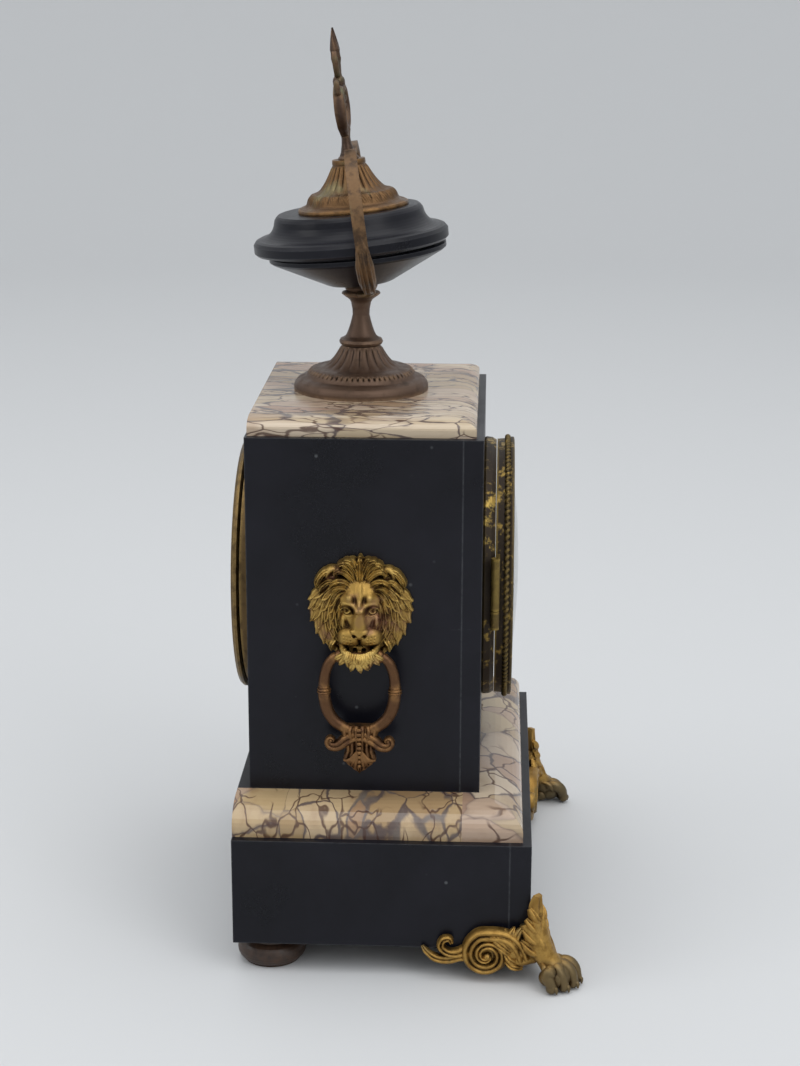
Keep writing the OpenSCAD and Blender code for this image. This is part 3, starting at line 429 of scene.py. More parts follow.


# cast_look colours: painted highlight, body colour, then the painted shade of the hollows that also colours the dark
# mottled patches
looks = {
    "slate": slate_look(),
    "marble_side": marble_look("marble_side", (0.024, 0.016, 0.03), turn=(0.35, 0, 0),
                               tone=(0.92, 0.84, 0.68)),
    "marble_front": marble_look("marble_front", (0.03, 0.03, 0.02), turn=(0, 0, 0.5), shift=(1, 2, 3)),
    "marble_top": marble_look("marble_top", (0.010, 0.032, 0.012), shift=(4, 1, 2)),
    "lion_gilt": cast_look("lion_gilt", (0.62, 0.43, 0.13), (0.36, 0.22, 0.055), (0.07, 0.035, 0.014),
                           tint=(0.25, 0.13, 0.085), tint_share=0.3),
    "ring_gilt": cast_look("ring_gilt", (0.25, 0.13, 0.05), (0.11, 0.054, 0.026), (0.05, 0.024, 0.013)),
    "paw_gilt": cast_look("paw_gilt", (0.45, 0.27, 0.07), (0.27, 0.15, 0.035), (0.05, 0.028, 0.014),
                          tint=(0.10, 0.10, 0.06), tint_share=0.3, toes=(0.12, 0.095, 0.055)),
    "cap_gilt": cast_look("cap_gilt", (0.27, 0.15, 0.06), (0.13, 0.07, 0.03), (0.045, 0.024, 0.013),
                          tint=(0.2, 0.17, 0.09), tint_share=0.2),
    "dark_bronze": cast_look("dark_bronze", (0.27, 0.17, 0.1), (0.105, 0.062, 0.04), (0.024, 0.014, 0.009),
                             metal=0.6, rough=(0.35, 0.6)),
    "finial_bronze": cast_look("finial_bronze", (0.14, 0.08, 0.042), (0.058, 0.031, 0.019), (0.016, 0.01, 0.008),
                               metal=0.6, tint=(0.11, 0.12, 0.06), tint_share=0.25),
    "handle_bronze": cast_look("handle_bronze", (0.17, 0.095, 0.042), (0.062, 0.035, 0.018), (0.02, 0.012, 0.009),
                               metal=0.6, tint=(0.16, 0.14, 0.07), tint_share=0.2),
    "case_brass": patchy_look("case_brass", (0.56, 0.39, 0.09), (0.028, 0.019, 0.012)),
    "cover_brass": cast_look("cover_brass", (0.36, 0.24, 0.09), (0.11, 0.07, 0.03), (0.03, 0.019, 0.012)),
    "movement_brass": machined_look("movement_brass", (0.66, 0.47, 0.18), (0.25, 0.16, 0.06), 0.28),
    "bell_metal": machined_look("bell_metal", (0.5, 0.47, 0.4), (0.25, 0.22, 0.17), 0.3),
    "steel": machined_look("steel", (0.42, 0.43, 0.45), (0.16, 0.12, 0.09), 0.3),
    "blued_steel": machined_look("blued_steel", (0.015, 0.025, 0.06), (0.01, 0.012, 0.02), 0.22),
    "enamel": enamel_look(),
    "ink": machined_look("ink", (0.012, 0.011, 0.012), (0.03, 0.028, 0.026), 0.4, metal=0.0),
    "glass": glass_look(),
    "wood": wood_look(),
}
NODE_LOOKS = {
    "step_marble_front": "marble_front", "step_marble_left": "marble_side", "step_marble_right": "marble_side",
    "top_marble_slab": "marble_top", "urn_cap": "cap_gilt", "urn_foot": "dark_bronze", "urn_stem": "dark_bronze",
    "urn_finial": "finial_bronze", "bezel_ring": "case_brass", "bezel_door": "case_brass",
    "back_ring": "cover_brass", "back_door": "cover_brass",
}
for side in ("left", "right"):
    NODE_LOOKS["urn_handle_" + side] = "handle_bronze"
    NODE_LOOKS["paw_foot_" + side] = "paw_gilt"
    NODE_LOOKS["ring_handle_" + side] = "ring_gilt"
    NODE_LOOKS["lion_mask_" + side] = "lion_gilt"
slot_of = {part["node"]: part["material_slot"] for part in frame["record"]["subparts"]}


def dress(node):
    """Gives a CAD node its material, and fine rounded edges where it is stone."""
    thing = frame["nodes"][node]
    name = NODE_LOOKS.get(node) or slot_of[node]
    for slot in thing.material_slots:
        slot.material = looks[name]
    if not thing.material_slots:
        thing.data.materials.append(looks[name])
    if slot_of[node] in ("slate", "marble") and not node.startswith("urn"):
        bevel = thing.modifiers.new("edges", "BEVEL")
        bevel.width = 0.0006
        bevel.segments = 2
        bevel.limit_method = "ANGLE"
        bevel.angle_limit = math.radians(35)
        bevel.harden_normals = True


for node in frame["nodes"]:
    dress(node)


# ---------------------------------------------------------------- building meshes
# Sizes below are in millimetres. X runs to the right of the dial, Y to the back from the middle of the
# upright body, Z up from the floor.
class Shape:
    """Closed surfaces gathered into one mesh."""

    def __init__(self):
        self.points, self.faces, self.count = [], [], 0

    def bar(self, *args):
        """Adds one swept bar; the arguments are those of sweep()."""
        return self.rings(sweep(*args))

    def rings(self, rows, closed=False):
        """A skin over rings of points. Open ends are capped; closed joins the last ring to the first."""
        rows = np.asarray(rows, float)
        n, m = rows.shape[:2]
        index = self.count + np.arange(n * m).reshape(n, m)
        here = index if closed else index[:-1]
        there = np.roll(index, -1, axis=0)[:len(here)]
        quads = np.stack([here, np.roll(here, -1, axis=1), np.roll(there, -1, axis=1), there], -1)
        self.faces += quads.reshape(-1, 4).tolist()
        if not closed:
            self.faces += [index[0][::-1].tolist(), index[-1].tolist()]
        self.points.append(rows.reshape(-1, 3))
        self.count += n * m
        return self

    def add(self, other, turn=None, shift=(0, 0, 0)):
        """Takes in another shape, turned by a 3x3 matrix and then moved."""
        points = np.concatenate(other.points)
        if turn is not None:
            points = points @ np.asarray(turn).T
        self.points.append(points + np.asarray(shift))
        self.faces += [[k + self.count for k in face] for face in other.faces]
        self.count += len(points)
        return self

    def mirrored(self):
        """The same shape on the other side of the clock."""
        return Shape().add(self, turn=np.diag([-1, 1, 1]))

    def piece(self, name, look, body="case", stands_for=(), slot="gilt_bronze", crease=40):
        """Makes the object, and hangs it on its CAD body."""
        points = (np.concatenate(self.points) + (0, mid_y / MM, 0)) * MM
        mesh = bpy.data.meshes.new(name)
        mesh.from_pydata(points.tolist(), [], self.faces)
        work = bmesh.new()
        work.from_mesh(mesh)
        bmesh.ops.recalc_face_normals(work, faces=work.faces)
        work.to_mesh(mesh)
        work.free()
        mesh.shade_smooth()
        mesh.set_sharp_from_angle(angle=math.radians(crease))
        mesh.materials.append(looks[look])
        thing = bpy.data.objects.new(name, mesh)
        bpy.context.scene.collection.objects.link(thing)
        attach(thing, body)
        if stands_for:
            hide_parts(*stands_for)
        return thing


def curve(points, n=8):
    """A smooth curve through given points (Catmull-Rom)."""
    p = np.array([points[0], *points, points[-1]], float)
    t = (np.arange(n) / n)[:, None]
    out = []
    for a, b, c, d in zip(p, p[1:], p[2:], p[3:]):
        out.append(0.5 * (2 * b + (c - a) * t + (2 * a - 5 * b + 4 * c - d) * t ** 2
                          + (3 * b - a - 3 * c + d) * t ** 3))
    return np.concatenate(out + [p[-1:]])


def spread(values, n):
    """n numbers that run smoothly through the given ones."""
    t = np.linspace(0, len(values) - 1, n)
    low = np.clip(t.astype(int), 0, len(values) - 2)
    s = t - low
    s = s * s * (3 - 2 * s)
    v = np.array(values, float)
    return v[low] * (1 - s) + v[low + 1] * s


def unit(v):
    v = np.asarray(v, float)
    return v / (np.linalg.norm(v, axis=-1, keepdims=True) + 1e-12)


ROUND = np.array([(math.cos(a), math.sin(a)) for a in np.linspace(0, 2 * math.pi, 24, endpoint=False)])


def band_section(ridges=2, depth=0.35, base=-0.3, count=25):
    """A strap whose outer face has rounded ridges with grooves between them."""
    s = np.linspace(-1, 1, count)
    ridge = np.abs(np.cos(np.pi * ridges * (s + 1) / 2 + np.pi / 2))
    top = (1 - np.abs(s) ** 4) ** 0.5 * (1 - depth + depth * ridge)
    return np.concatenate([np.stack([s, top], -1), [(1, base), (-1, base)]])


def sweep(path, across, out, normal, section=ROUND):
    """Rings for a bar along a path. across and out are its half sizes, out being along the normal."""
    path = np.asarray(path, float)
    n = len(path)
    along_path = unit(np.gradient(path, axis=0))
    side = unit(np.cross(along_path, np.broadcast_to(unit(normal), path.shape)))
    up = np.cross(side, along_path)
    a = spread(across, n)[:, None, None]
    o = spread(out, n)[:, None, None]
    return path[:, None] + side[:, None] * a * section[None, :, :1] + up[:, None] * o * section[None, :, 1:]


def ball(at, size, axes=None, rows=14, spokes=24):
    """Rings for an ellipsoid."""
    a = np.linspace(0.03, math.pi - 0.03, rows)[:, None]
    b = np.linspace(0, 2 * math.pi, spokes, endpoint=False)[None]
    p = np.stack([np.sin(a) * np.cos(b), np.sin(a) * np.sin(b), np.cos(a) + 0 * b], -1) * np.asarray(size, float)
    if axes is not None:
        p = p @ np.asarray(axes, float)
    return p + np.asarray(at, float)


def revolve(outline, spokes, swell=None):
    """Rings for an outline of (radius, height) turned round Z.

    swell(angle, r, z) gives what is added to the radius and to the height.
    """
    outline = np.asarray(outline, float)
    angle = np.linspace(0, 2 * math.pi, spokes, endpoint=False)[None]
    r, z = outline[:, :1] + 0 * angle, outline[:, 1:] + 0 * angle
    if swell:
        dr, dz = swell(angle, r, z)
        r, z = r + dr, z + dz
    return np.stack([r * np.cos(angle), r * np.sin(angle), z], -1)


def dense(outline, step=0.4):
    """The same outline with points no further apart than the step."""
    out = []
    for a, b in zip(outline, outline[1:]):
        n = max(1, int(math.dist(a, b) / step))
        out += [(a[0] + (b[0] - a[0]) * k / n, a[1] + (b[1] - a[1]) * k / n) for k in range(n)]
    return out + [outline[-1]]


# ---------------------------------------------------------------- lion mask, a relief over (u, v) in mm
def soft_max(a, b, k=0.5):
    """The higher of two reliefs, with a rounded valley where they meet."""
    h = np.clip(0.5 + 0.5 * (a - b) / k, 0, 1)
    return b + (a - b) * h + k * h * (1 - h)


def blob(u, v, at, size, turn=0.0):
    """A soft bump, 1 at its centre."""
    c, s = math.cos(turn), math.sin(turn)
    x, y = u - at[0], v - at[1]
    return np.exp(-((c * x + s * y) / size[0]) ** 2 - ((-s * x + c * y) / size[1]) ** 2)


def dome(u, v, at, size, power=2.0):
    """A dome with a clear edge, 1 at its centre and 0 outside."""
    d = np.abs((u - at[0]) / size[0]) ** power + np.abs((v - at[1]) / size[1]) ** power
    return np.sqrt(np.clip(1 - d, 0, 1))


def along(u, v, spine):
    """Distance from a curve, signed offset from it, and how far along it the nearest point is."""
    best = np.full(u.shape, 1e9)
    side = np.zeros(u.shape)
    share = np.zeros(u.shape)
    count = len(spine) - 1
    for i in range(count):
        (ax, ay), (bx, by) = spine[i], spine[i + 1]
        dx, dy = bx - ax, by - ay
        t = np.clip(((u - ax) * dx + (v - ay) * dy) / (dx * dx + dy * dy + 1e-9), 0, 1)
        ex, ey = u - ax - t * dx, v - ay - t * dy
        d = np.hypot(ex, ey)
        near = d < best
        best = np.where(near, d, best)
        side = np.where(near, np.sign(dx * ey - dy * ex) * d, side)
        share = np.where(near, (i + t) / count, share)
    return best, side, share


def lock(u, v, spine, width, height, strands=3, root=0.4, tip=0.1):
    """A leaf-shaped lock of hair with fine strands, highest in its middle."""
    d, side, t = along(u, v, spine)
    w = width * (root + (1 - root) * np.sin(np.pi * np.clip(t * 0.85 + 0.1, 0, 1)) ** 0.8)
    w = w * np.clip((1.0 - t) / 0.25, tip, 1) ** 0.7
    s = d / w
    round_top = np.sqrt(np.clip(1 - s * s, 0, 1))
    groove = 0.2 * np.cos(np.pi * strands * side / w) * np.clip(1 - s, 0, 1) ** 0.4
    swell = height * (0.7 + 0.3 * np.sin(np.pi * t))
    return np.where(s < 1, swell * (0.35 + 0.65 * round_top + groove * 0.55), -1.0)


def mane(u, v):
    """Rows of long waved locks that flow down from the brow to the beard, the outer rows lowest."""
    a = np.abs(u)
    hair = np.zeros(u.shape)
    # locks in the row, first and last angle, inner and outer ellipse, sweep, half width, height, waviness
    rows = (
        (7, 38, 112, (17, 18), (26.4, 27.0), 46, 2.9, 3.6, 5),
        (7, 30, 110, (14.5, 15.5), (24.0, 24.6), 52, 2.8, 5.0, 6),
        (6, 34, 104, (12.0, 13.5), (20.5, 21.5), 54, 2.6, 6.4, 7),
        (5, 42, 100, (10.2, 11.0), (16.6, 18.0), 52, 2.3, 7.6, 6),
        (4, 62, 104, (9.2, 9.5), (12.8, 15.0), 44, 1.9, 8.6, 4),
    )
    for n, (count, first, last, inner, outer, arc, width, height, wave) in enumerate(rows):
        for k in range(count):
            start = first + (last - first) * k / (count - 1) + 2.2 * math.sin(5.1 * k + 2.3 * n)
            spine = []
            for i in range(17):
                t = i / 16
                phi = math.radians(start + arc * t - wave * math.sin(2 * math.pi * t + 0.4 * n))
                grow = t ** 1.1 + 0.06 * math.sin(2.2 * math.pi * t)
                ru = inner[0] + (outer[0] - inner[0]) * grow
                rv = inner[1] + (outer[1] - inner[1]) * grow
                spine.append((ru * math.sin(phi), rv * math.cos(phi) + 1))
            broad = width * (1 + 0.12 * math.sin(3.7 * k + n))
            hair = soft_max(hair, lock(a, v, spine, broad, height, strands=2.5), 0.2)
    return hair


def crown(u, v):
    """The tuft over the forehead, the curls beside it and the ears."""
    a = np.abs(u)
    top = np.zeros(u.shape)
    # round ears, hollow in front
    ear = 5.4 * dome(a, v, (16.2, 18.4), (4.6, 4.8), 2.6) - 3.4 * blob(a, v, (15.6, 17.6), (2.0, 2.6), 0.5)
    top = soft_max(top, ear, 0.4)
    # (spine, half width, height, bluntness of the tip)
    fans = (
        ([(0.4, 9), (3.6, 15), (8.6, 19.6), (12.4, 20.6), (14.2, 18.6), (13.4, 16.8)], 2.2, 6.6, 0.5),
        ([(1.2, 10), (3.4, 17.5), (7.2, 22.6), (10.6, 24.0), (12.2, 22.4), (11.2, 20.9)], 2.1, 6.2, 0.5),
        ([(0.8, 11), (2.2, 19), (5.2, 24.4), (8.4, 25.6), (9.6, 23.8)], 2.2, 6.4, 0.7),
        ([(0.4, 11), (1.6, 20), (3.6, 25.8), (6.0, 26.6)], 1.9, 6.8, 0.8),
        ([(0.0, 11), (0.0, 20), (0.0, 28.2)], 2.6, 7.4, 0.9),
        ([(17.0, 20.0), (20.8, 19.0), (22.8, 14.6), (22.6, 10.4)], 2.4, 5.2, 0.3),
        ([(14.0, 14.0), (17.6, 14.2), (20.2, 11.4), (20.6, 7.0)], 2.2, 6.2, 0.3),
        ([(2.6, 9.0), (6.6, 13.4), (11.0, 15.2), (14.6, 13.6), (15.8, 10.8)], 2.1, 7.4, 0.3),
        ([(5.6, 9.6), (9.4, 11.8), (13.0, 11.2), (15.0, 7.6)], 1.8, 8.0, 0.2),
    )
    for points, width, height, tip in fans:
        top = soft_max(top, lock(a, v, curve(points, 6), width, height, strands=3, tip=tip), 0.2)
    return top


def face(u, v):
    """A plain lion's face, from the forehead ridge down to the chin."""
    a = np.abs(u)
    h = 10.0 * dome(u, v, (0, -1.5), (13.4, 20), 2.4)
    # forehead ridge, brow knobs and brows
    d, _, t = along(a, v, [(0, 18), (0, 2)])
    h += (0.8 + 1.3 * t) * np.exp(-(d / (1.2 + 1.1 * t)) ** 2) * dome(u, v, (0, 8), (6, 11), 4)
    h += 2.5 * blob(a, v, (5.2, 7.4), (2.5, 2.3), 0.3) + 1.2 * blob(a, v, (9.6, 6.0), (2.4, 1.8), -0.4)
    h -= 1.3 * blob(a, v, (2.2, 5.8), (0.9, 3.0), -0.35)
    d, _, t = along(a, v, curve([(2.0, 1.6), (4.4, 3.9), (8.0, 4.0), (11.2, 1.6)], 6))
    h += 1.7 * np.exp(-(d / 1.1) ** 2) * (1 - 0.4 * t)
    # sockets, small slanted eyes under heavy lids
    h -= 3.4 * blob(a, v, (6.4, 0.9), (3.2, 1.9), -0.15) + 1.6 * blob(a, v, (3.4, 0.6), (1.3, 1.9))
    h += 1.7 * dome(a, v, (6.5, 0.5), (2.1, 1.35), 2.0) - 0.9 * blob(a, v, (6.4, 0.4), (0.6, 0.6))
    for points, lift in (([(3.7, -0.9), (5.0, 1.2), (7.2, 1.9), (9.6, 0.9)], 1.1),
                         ([(3.7, -1.0), (5.6, -1.5), (7.8, -1.0), (9.6, 0.8)], 0.6)):
        d, _, _ = along(a, v, curve(points, 6))
        h += lift * np.exp(-(d / 0.48) ** 2)
    # bridge of the nose with a fold on each side, cheeks
    d, _, t = along(u, v, [(0, 3), (0, -9)])
    h += (1.8 + 2.2 * t) * np.exp(-(d / (2.5 + 1.7 * t)) ** 4)
    h += 1.6 * blob(a, v, (8.8, -4.2), (2.4, 3.4), 0.3) - 1.4 * blob(a, v, (6.4, -5.4), (0.9, 3.2), -0.3)
    # broad muzzle with whisker pits
    d = dome(a, v, (4.7, -12.3), (6.3, 5.2), 2.3)
    h = soft_max(h, np.where(d > 0, 7.4 + 5.6 * d, -1), 0.9)
    h -= 1.1 * np.exp(-(u / 0.55) ** 2) * blob(u, v, (0, -14.6), (2, 2.4))
    for i in range(3):
        for k in range(3):
            h -= 0.4 * blob(a, v, (4.4 + 1.7 * i - 0.2 * k, -11.4 - 1.5 * k + 0.3 * i), (0.42, 0.42))
    # nose: wide above, narrow below
    wide = 4.6 + 0.55 * (v + 9.6)
    d = dome(u, v, (0, -9.8), (np.clip(wide, 2.2, 5.4), 2.9), 2.8)
    h = soft_max(h, np.where(d > 0, 10.5 + 3.4 * d, -1), 0.5)
    h -= 2.6 * blob(a, v, (2.3, -10.7), (0.95, 0.62), 0.5)
    # open mouth with the pierced plate that the ring's bar runs behind
    h -= 4.8 * blob(a, v, (3.4, -17.7), (5.4, 1.2))
    hole = dome(a, v, (2.1, -18.2), (1.2, 1.2)) > 0
    plate = dome(u, v, (0, -18.7), (5.4, 2.5), 8.0) > 0
    h = np.where(plate, np.where(hole, 5.0, 10.8 - 0.05 * u * u), h)
    d = dome(u, v, (0, -21.6), (8.6, 2.8), 2.4)
    return soft_max(h, np.where(d > 0, 10.6 + 2.4 * d, -1), 0.5)


def beard(u, v):
    """Locks under the chin and one beside each corner of the mouth."""
    a = np.abs(u)
    h = np.zeros(u.shape)
    for points, width, height in (
        ([(0, -20.4), (0.5, -23.6), (0, -26.4)], 2.1, 13.6),
        ([(2.4, -20.4), (3.8, -23.4), (3.2, -27.2)], 2.1, 13.4),
        ([(4.8, -20), (6.6, -22.8), (6.2, -26.0)], 2.0, 13.2),
        ([(7.0, -18.8), (8.6, -21.0), (8.6, -24.2)], 1.8, 12.6),
        ([(11.6, -14.6), (14.0, -17.6), (14.6, -21.0)], 2.0, 6.0),
    ):
        h = soft_max(h, lock(a, v, curve(points, 5), width, height, strands=2, tip=0.35), 0.25)
    return h


def lion_height(u, v):
    h = soft_max(mane(u, v), crown(u, v), 0.3)
    h = soft_max(h, beard(u, v), 0.3)
    return soft_max(h, face(u, v), 0.6)


def lion_relief(spokes=420, rings=150, reach=33):
    """(u, v, height) of rings of points that grow from the middle of the face to the tips of the mane."""
    angle = np.linspace(0, 2 * np.pi, spokes, endpoint=False)
    # outline: how far out the hair still stands above the ground, in each direction
    least = 8
    r = np.linspace(least, reach, 220)
    tall = lion_height(np.outer(np.cos(angle), r), np.outer(np.sin(angle), r)) > 0.9
    last = np.array([r[np.nonzero(row)[0][-1]] if row.any() else least for row in tall])
    for _ in range(2):
        last = (np.roll(last, 1) + 2 * last + np.roll(last, -1)) / 4
    s = np.linspace(0.004, 1, rings) ** 0.8
    u = np.outer(np.cos(angle) * last, s)
    v = np.outer(np.sin(angle) * last, s)
    h = np.maximum(lion_height(u, v), 0.8)
    return u.T, v.T, h.T


# ---------------------------------------------------------------- lion masks and their rings
wall = -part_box("body_left_slab")[0].x / MM         # plane of the side of the body
MASK_Y, MASK_Z, RING_X, RING_Z = 1.5, 177.7, -89, 156.7
BAR = 153                                          # the bar's height among the points of the ring


def lion_mask():
    u, v, h = lion_relief()
    # the head narrows towards the crown
    u = u * (0.95 - 0.13 * np.clip((v - 8) / 12, 0, 1))
    v = np.where(v > 8, 8 + 0.88 * (v - 8), v)
    face_points = np.stack([-wall - h, MASK_Y - u, MASK_Z + v], -1)
    foot = face_points[-1:].copy()
    foot[..., 0] = -wall
    return Shape().rings(np.concatenate([face_points, foot]))


def jaw_and_locks():
    """Lower jaw in front of the bar of the ring, with curled locks hanging from it."""
    locks = Shape()

    def at_mask(points):
        return [(-wall - out, MASK_Y - u, MASK_Z + v) for u, v, out in points]

    jaw = curve(at_mask([(-8.8, -15.8, 7.0), (-7.6, -17.4, 13.6), (-4.2, -18.7, 17.2), (0, -19.1, 18.0),
                         (4.2, -18.7, 17.2), (7.6, -17.4, 13.6), (8.8, -15.8, 7.0)]), 7)
    locks.bar(jaw, [1.0, 1.3, 1.5, 1.6, 1.5, 1.3, 1.0], [1.2, 1.4, 1.5, 1.5, 1.5, 1.4, 1.2],
              (-1, 0, 0))
    # (place across, how low the tip hangs, half width, sideways bend), the long back row first
    back = ((0.2, -27.6, 1.7, 0.9), (2.6, -26.4, 1.7, 1.6), (5.0, -26.0, 1.7, -0.4), (7.2, -24.4, 1.6, 1.8),
            (8.6, -22.4, 1.4, 2.6), (-2.4, -26.8, 1.7, -1.2), (-4.8, -25.6, 1.7, 0.6), (-7.0, -24.6, 1.6, -1.8),
            (-8.6, -22.4, 1.4, -2.6))
    front = ((1.3, -24.0, 1.5, -0.9), (-1.1, -23.6, 1.5, 1.0), (3.8, -23.6, 1.5, 1.0), (-3.6, -23.4, 1.5, -1.2),
             (6.1, -22.6, 1.4, 0.9), (-6.0, -22.4, 1.4, -1.0), (0.0, -21.8, 1.3, 0.5), (2.6, -21.6, 1.3, -0.5),
             (-2.5, -21.6, 1.3, 0.6), (5.0, -21.0, 1.2, 0.6), (-5.0, -21.0, 1.2, -0.6))
    for row, rise in ((back, 0.5), (front, 1.4)):
        for u, low, size, bend in row:
            top = -18.9 + 0.022 * u * u
            out = 18.2 - 0.055 * u * u
            path = curve(at_mask([(0.85 * u, top + 0.9, out),
                                  (0.94 * u - 0.3 * bend, (2 * top + low) / 3, out + rise),
                                  (u + 0.5 * bend, (top + 2 * low) / 3, out + 0.7 * rise - 0.5),
                                  (1.08 * u + bend, low, out - 2.4)]), 8)
            locks.bar(path, [1.2, size, 0.9 * size, 0.3], [0.9, 1.1, 1.0, 0.4], (-1, 0, 0),
                      band_section(ridges=2, depth=0.25, base=-1.0))
    return locks


def on_ring(points):
    """(u, height) or (u, height, out) points in the plane of the ring, whose bar is at BAR."""
    points = np.asarray(points, float)
    out = points[:, 2] if points.shape[1] > 2 else 0 * points[:, 0]
    return np.stack([RING_X - out, MASK_Y - 0.95 * points[:, 0], RING_Z - BAR + points[:, 1]], -1)


def ring_handle():
    ring = Shape()
    ring.bar(on_ring([(-9.8, BAR), (0, BAR), (9.8, BAR)]), [2.1, 2.1], [2.1, 2.1], (1, 0, 0))
    half = [(9.9, 153.4), (12.9, 152.0), (15.2, 149.2), (16.8, 145.2), (17.6, 140.6), (17.8, 135.6),
            (17.3, 130.6), (15.8, 125.4), (12.7, 120.6), (8.0, 117.2), (3.6, 115.7), (0, 115.4)]
    loop = curve(half + [(-u, z) for u, z in half[-2::-1]], 7)
    thick = [2.0, 2.3, 2.5, 2.5, 2.6, 2.9, 3.0, 2.9, 2.7, 2.6, 2.6]
    thick = thick + thick[-2::-1]
    ring.bar(on_ring(loop), thick, [t + 0.1 for t in thick], (1, 0, 0))
    for s in (-1, 1):
        # pivot knob, and the reeded collar half way down each side
        ring.rings(ball(on_ring([(s * 10, BAR)])[0], (3.1, 2.7, 3.2)))
        for k, size in enumerate((2.9, 3.4, 3.4, 2.9)):
            at = (s * 17.75, 137.7 - 1.35 * k)
            ring.rings(ball(on_ring([at])[0], (size, size, 0.95), rows=9))
    # leaf collar under the ring, its fan and the ladder down the middle
    flutes = band_section(ridges=6, depth=0.45, base=-0.9, count=61)
    drop = on_ring([(0, z) for z in np.linspace(118.6, 94.2, 60)])
    ring.bar(drop, [8.0, 9.0, 8.8, 8.0, 7.2, 6.8, 6.8, 7.6, 8.0, 6.2, 3.4, 0.4],
             [2.6, 3.9, 4.0, 3.6, 3.0, 2.7, 2.6, 2.5, 2.2, 2.0, 1.6, 1.0], (-1, 0, 0), flutes)
    for k in range(9):
        ring.rings(ball(on_ring([(0, 117.0 - 2.35 * k, 3.9 - 0.19 * k)])[0], (0.9, 1.5 - 0.06 * k, 1.0), rows=9))
    for s in (-1, 1):
        for k in range(4):
            tip = (s * (2.2 + 1.9 * k), 96.4 + 1.5 * k, 1.4)
            ring.bar(on_ring(curve([(s * 1.0, 106, 2.4), (s * (1.6 + 1.0 * k), 101.5, 2.6), tip], 6)),
                     [0.6, 1.15, 0.5], [0.7, 1.0, 0.5], (-1, 0, 0))
        wing = curve([(s * 2, 113.4, 1), (s * 6.5, 111.2, 1.2), (s * 10.5, 108.2, 1), (s * 13.8, 107.8, 1),
                      (s * 15.6, 109.4, 1), (s * 15.0, 111.4, 1), (s * 13.6, 111.0, 1), (s * 13.7, 109.9, 1.2)], 7)
        ring.bar(on_ring(wing), [3.0, 2.9, 2.6, 2.4, 2.1, 1.7, 1.4, 0.8],
                 [2.4, 2.4, 2.2, 2.1, 1.9, 1.8, 1.6, 1.1], (-1, 0, 0),
                 band_section(ridges=2, depth=0.3, base=-1.0))
    return ring


# ---------------------------------------------------------------- paw feet
CORNER = (-107, -81.4)             # left front corner of the slate base


def on_side(points):
    """(distance from the corner, height, thickness) on the side face of the base."""
    p = np.asarray(points, float)
    return np.stack([CORNER[0] - p[:, 2], CORNER[1] + p[:, 0], p[:, 1]], -1)


def diagonal(points, heading=45):
    """(reach out from the corner, sideways, height); a heading over 45 degrees is towards the front."""
    p = np.asarray(points, float)
    c, s = math.cos(math.radians(heading)), math.sin(math.radians(heading))
    return np.stack([CORNER[0] - c * p[:, 0] + s * p[:, 1], CORNER[1] - s * p[:, 0] - c * p[:, 1], p[:, 2]], -1)


def paw_wing():
    """Scroll, leaf crest, bud and tip on the side face."""
    wing = Shape()
    out = (-1, 0, 0)
    groove = band_section(ridges=2, depth=0.42, base=-0.6)
    scroll = [(3, 13, 4.5), (6, 20, 5), (12, 24.4, 4.6)]
    for k in range(27):
        a = math.radians(80 - k * 24)
        r = 10.0 - 0.34 * k
        scroll.append((20.8 + r * math.cos(a), 14.6 + r * math.sin(a), 3.4 + 0.07 * k))
    wing.bar(on_side(curve(scroll, 4)), [3.6, 3.4, 3.2, 3.1, 2.9, 2.7, 2.4, 2.1, 1.8, 1.4, 0.9],
             [3.6, 3.4, 3.2, 3.0, 3.0, 2.9, 2.8, 2.7, 2.6, 2.4, 2.0], out, groove)
    wing.rings(ball(on_side([(20.4, 13.7, 4.4)])[0], (3.0, 2.3, 2.3)))
    # ground of the scroll
    wing.rings(ball(on_side([(20.4, 13.7, 0.4)])[0], (3.6, 11.0, 11.0)))
    # lobes of the leaf over the scroll, each with a vein
    lobe = band_section(ridges=2, depth=0.3, base=-0.8)
    for root, middle, tip, width in (
        ((3, 15), (7, 23), (3.4, 29.6), 2.6), ((3, 15), (9, 23.5), (7.6, 29.2), 2.5),
        ((4, 15), (11, 23.2), (12.0, 28.0), 2.4), ((5, 15), (13, 22.6), (16.0, 27.0), 2.3),
        ((6, 14), (15, 21.6), (20.0, 26.4), 2.2), ((7, 13), (14, 19), (18.6, 21.0), 2.0),
        ((5, 10), (10, 13), (12.6, 17.6), 2.0), ((4, 8), (9, 9.6), (11.6, 12.6), 1.9),
    ):
        path = curve([(*root, 3.4), (*middle, 5.6), (*tip, 3.8)], 7)
        wing.bar(on_side(path), [1.2, width, width * 0.8, 0.5], [2.0, 2.4, 1.8, 0.8], out, lobe)
    wing.bar(on_side(curve([(-2, 17, 3), (6, 16, 4.4), (13, 12, 3.2)], 7)), [7, 7.5, 3.5], [3.4, 3.2, 1.5],
             out, band_section(ridges=3, depth=0.3, base=-0.8, count=37))
    # bud that curls back, and the long tip
    wing.bar(on_side(curve([(29, 17.5, 2.4), (34, 14.4, 2.8), (39, 14.4, 2.8), (42.6, 17.4, 2.8),
                            (41.8, 21.0, 2.9), (38.8, 21.8, 3.0), (37.6, 19.4, 3.2)], 7)),
             [2.6, 2.7, 2.2, 2.1, 1.9, 1.7, 1.0], [2.2, 2.5, 2.4, 2.3, 2.2, 2.1, 1.2], out, groove)
    wing.bar(on_side(curve([(27, 11.5, 2.2), (33, 12.6, 2.6), (39, 10.8, 2.5), (45, 11.2, 2.3),
                            (49.4, 14.2, 2.1), (51.8, 17.4, 1.8)], 7)),
             [2.2, 2.6, 2.5, 2.2, 1.6, 0.8], [2.0, 2.4, 2.3, 2.0, 1.6, 0.8], out, groove)
    return wing


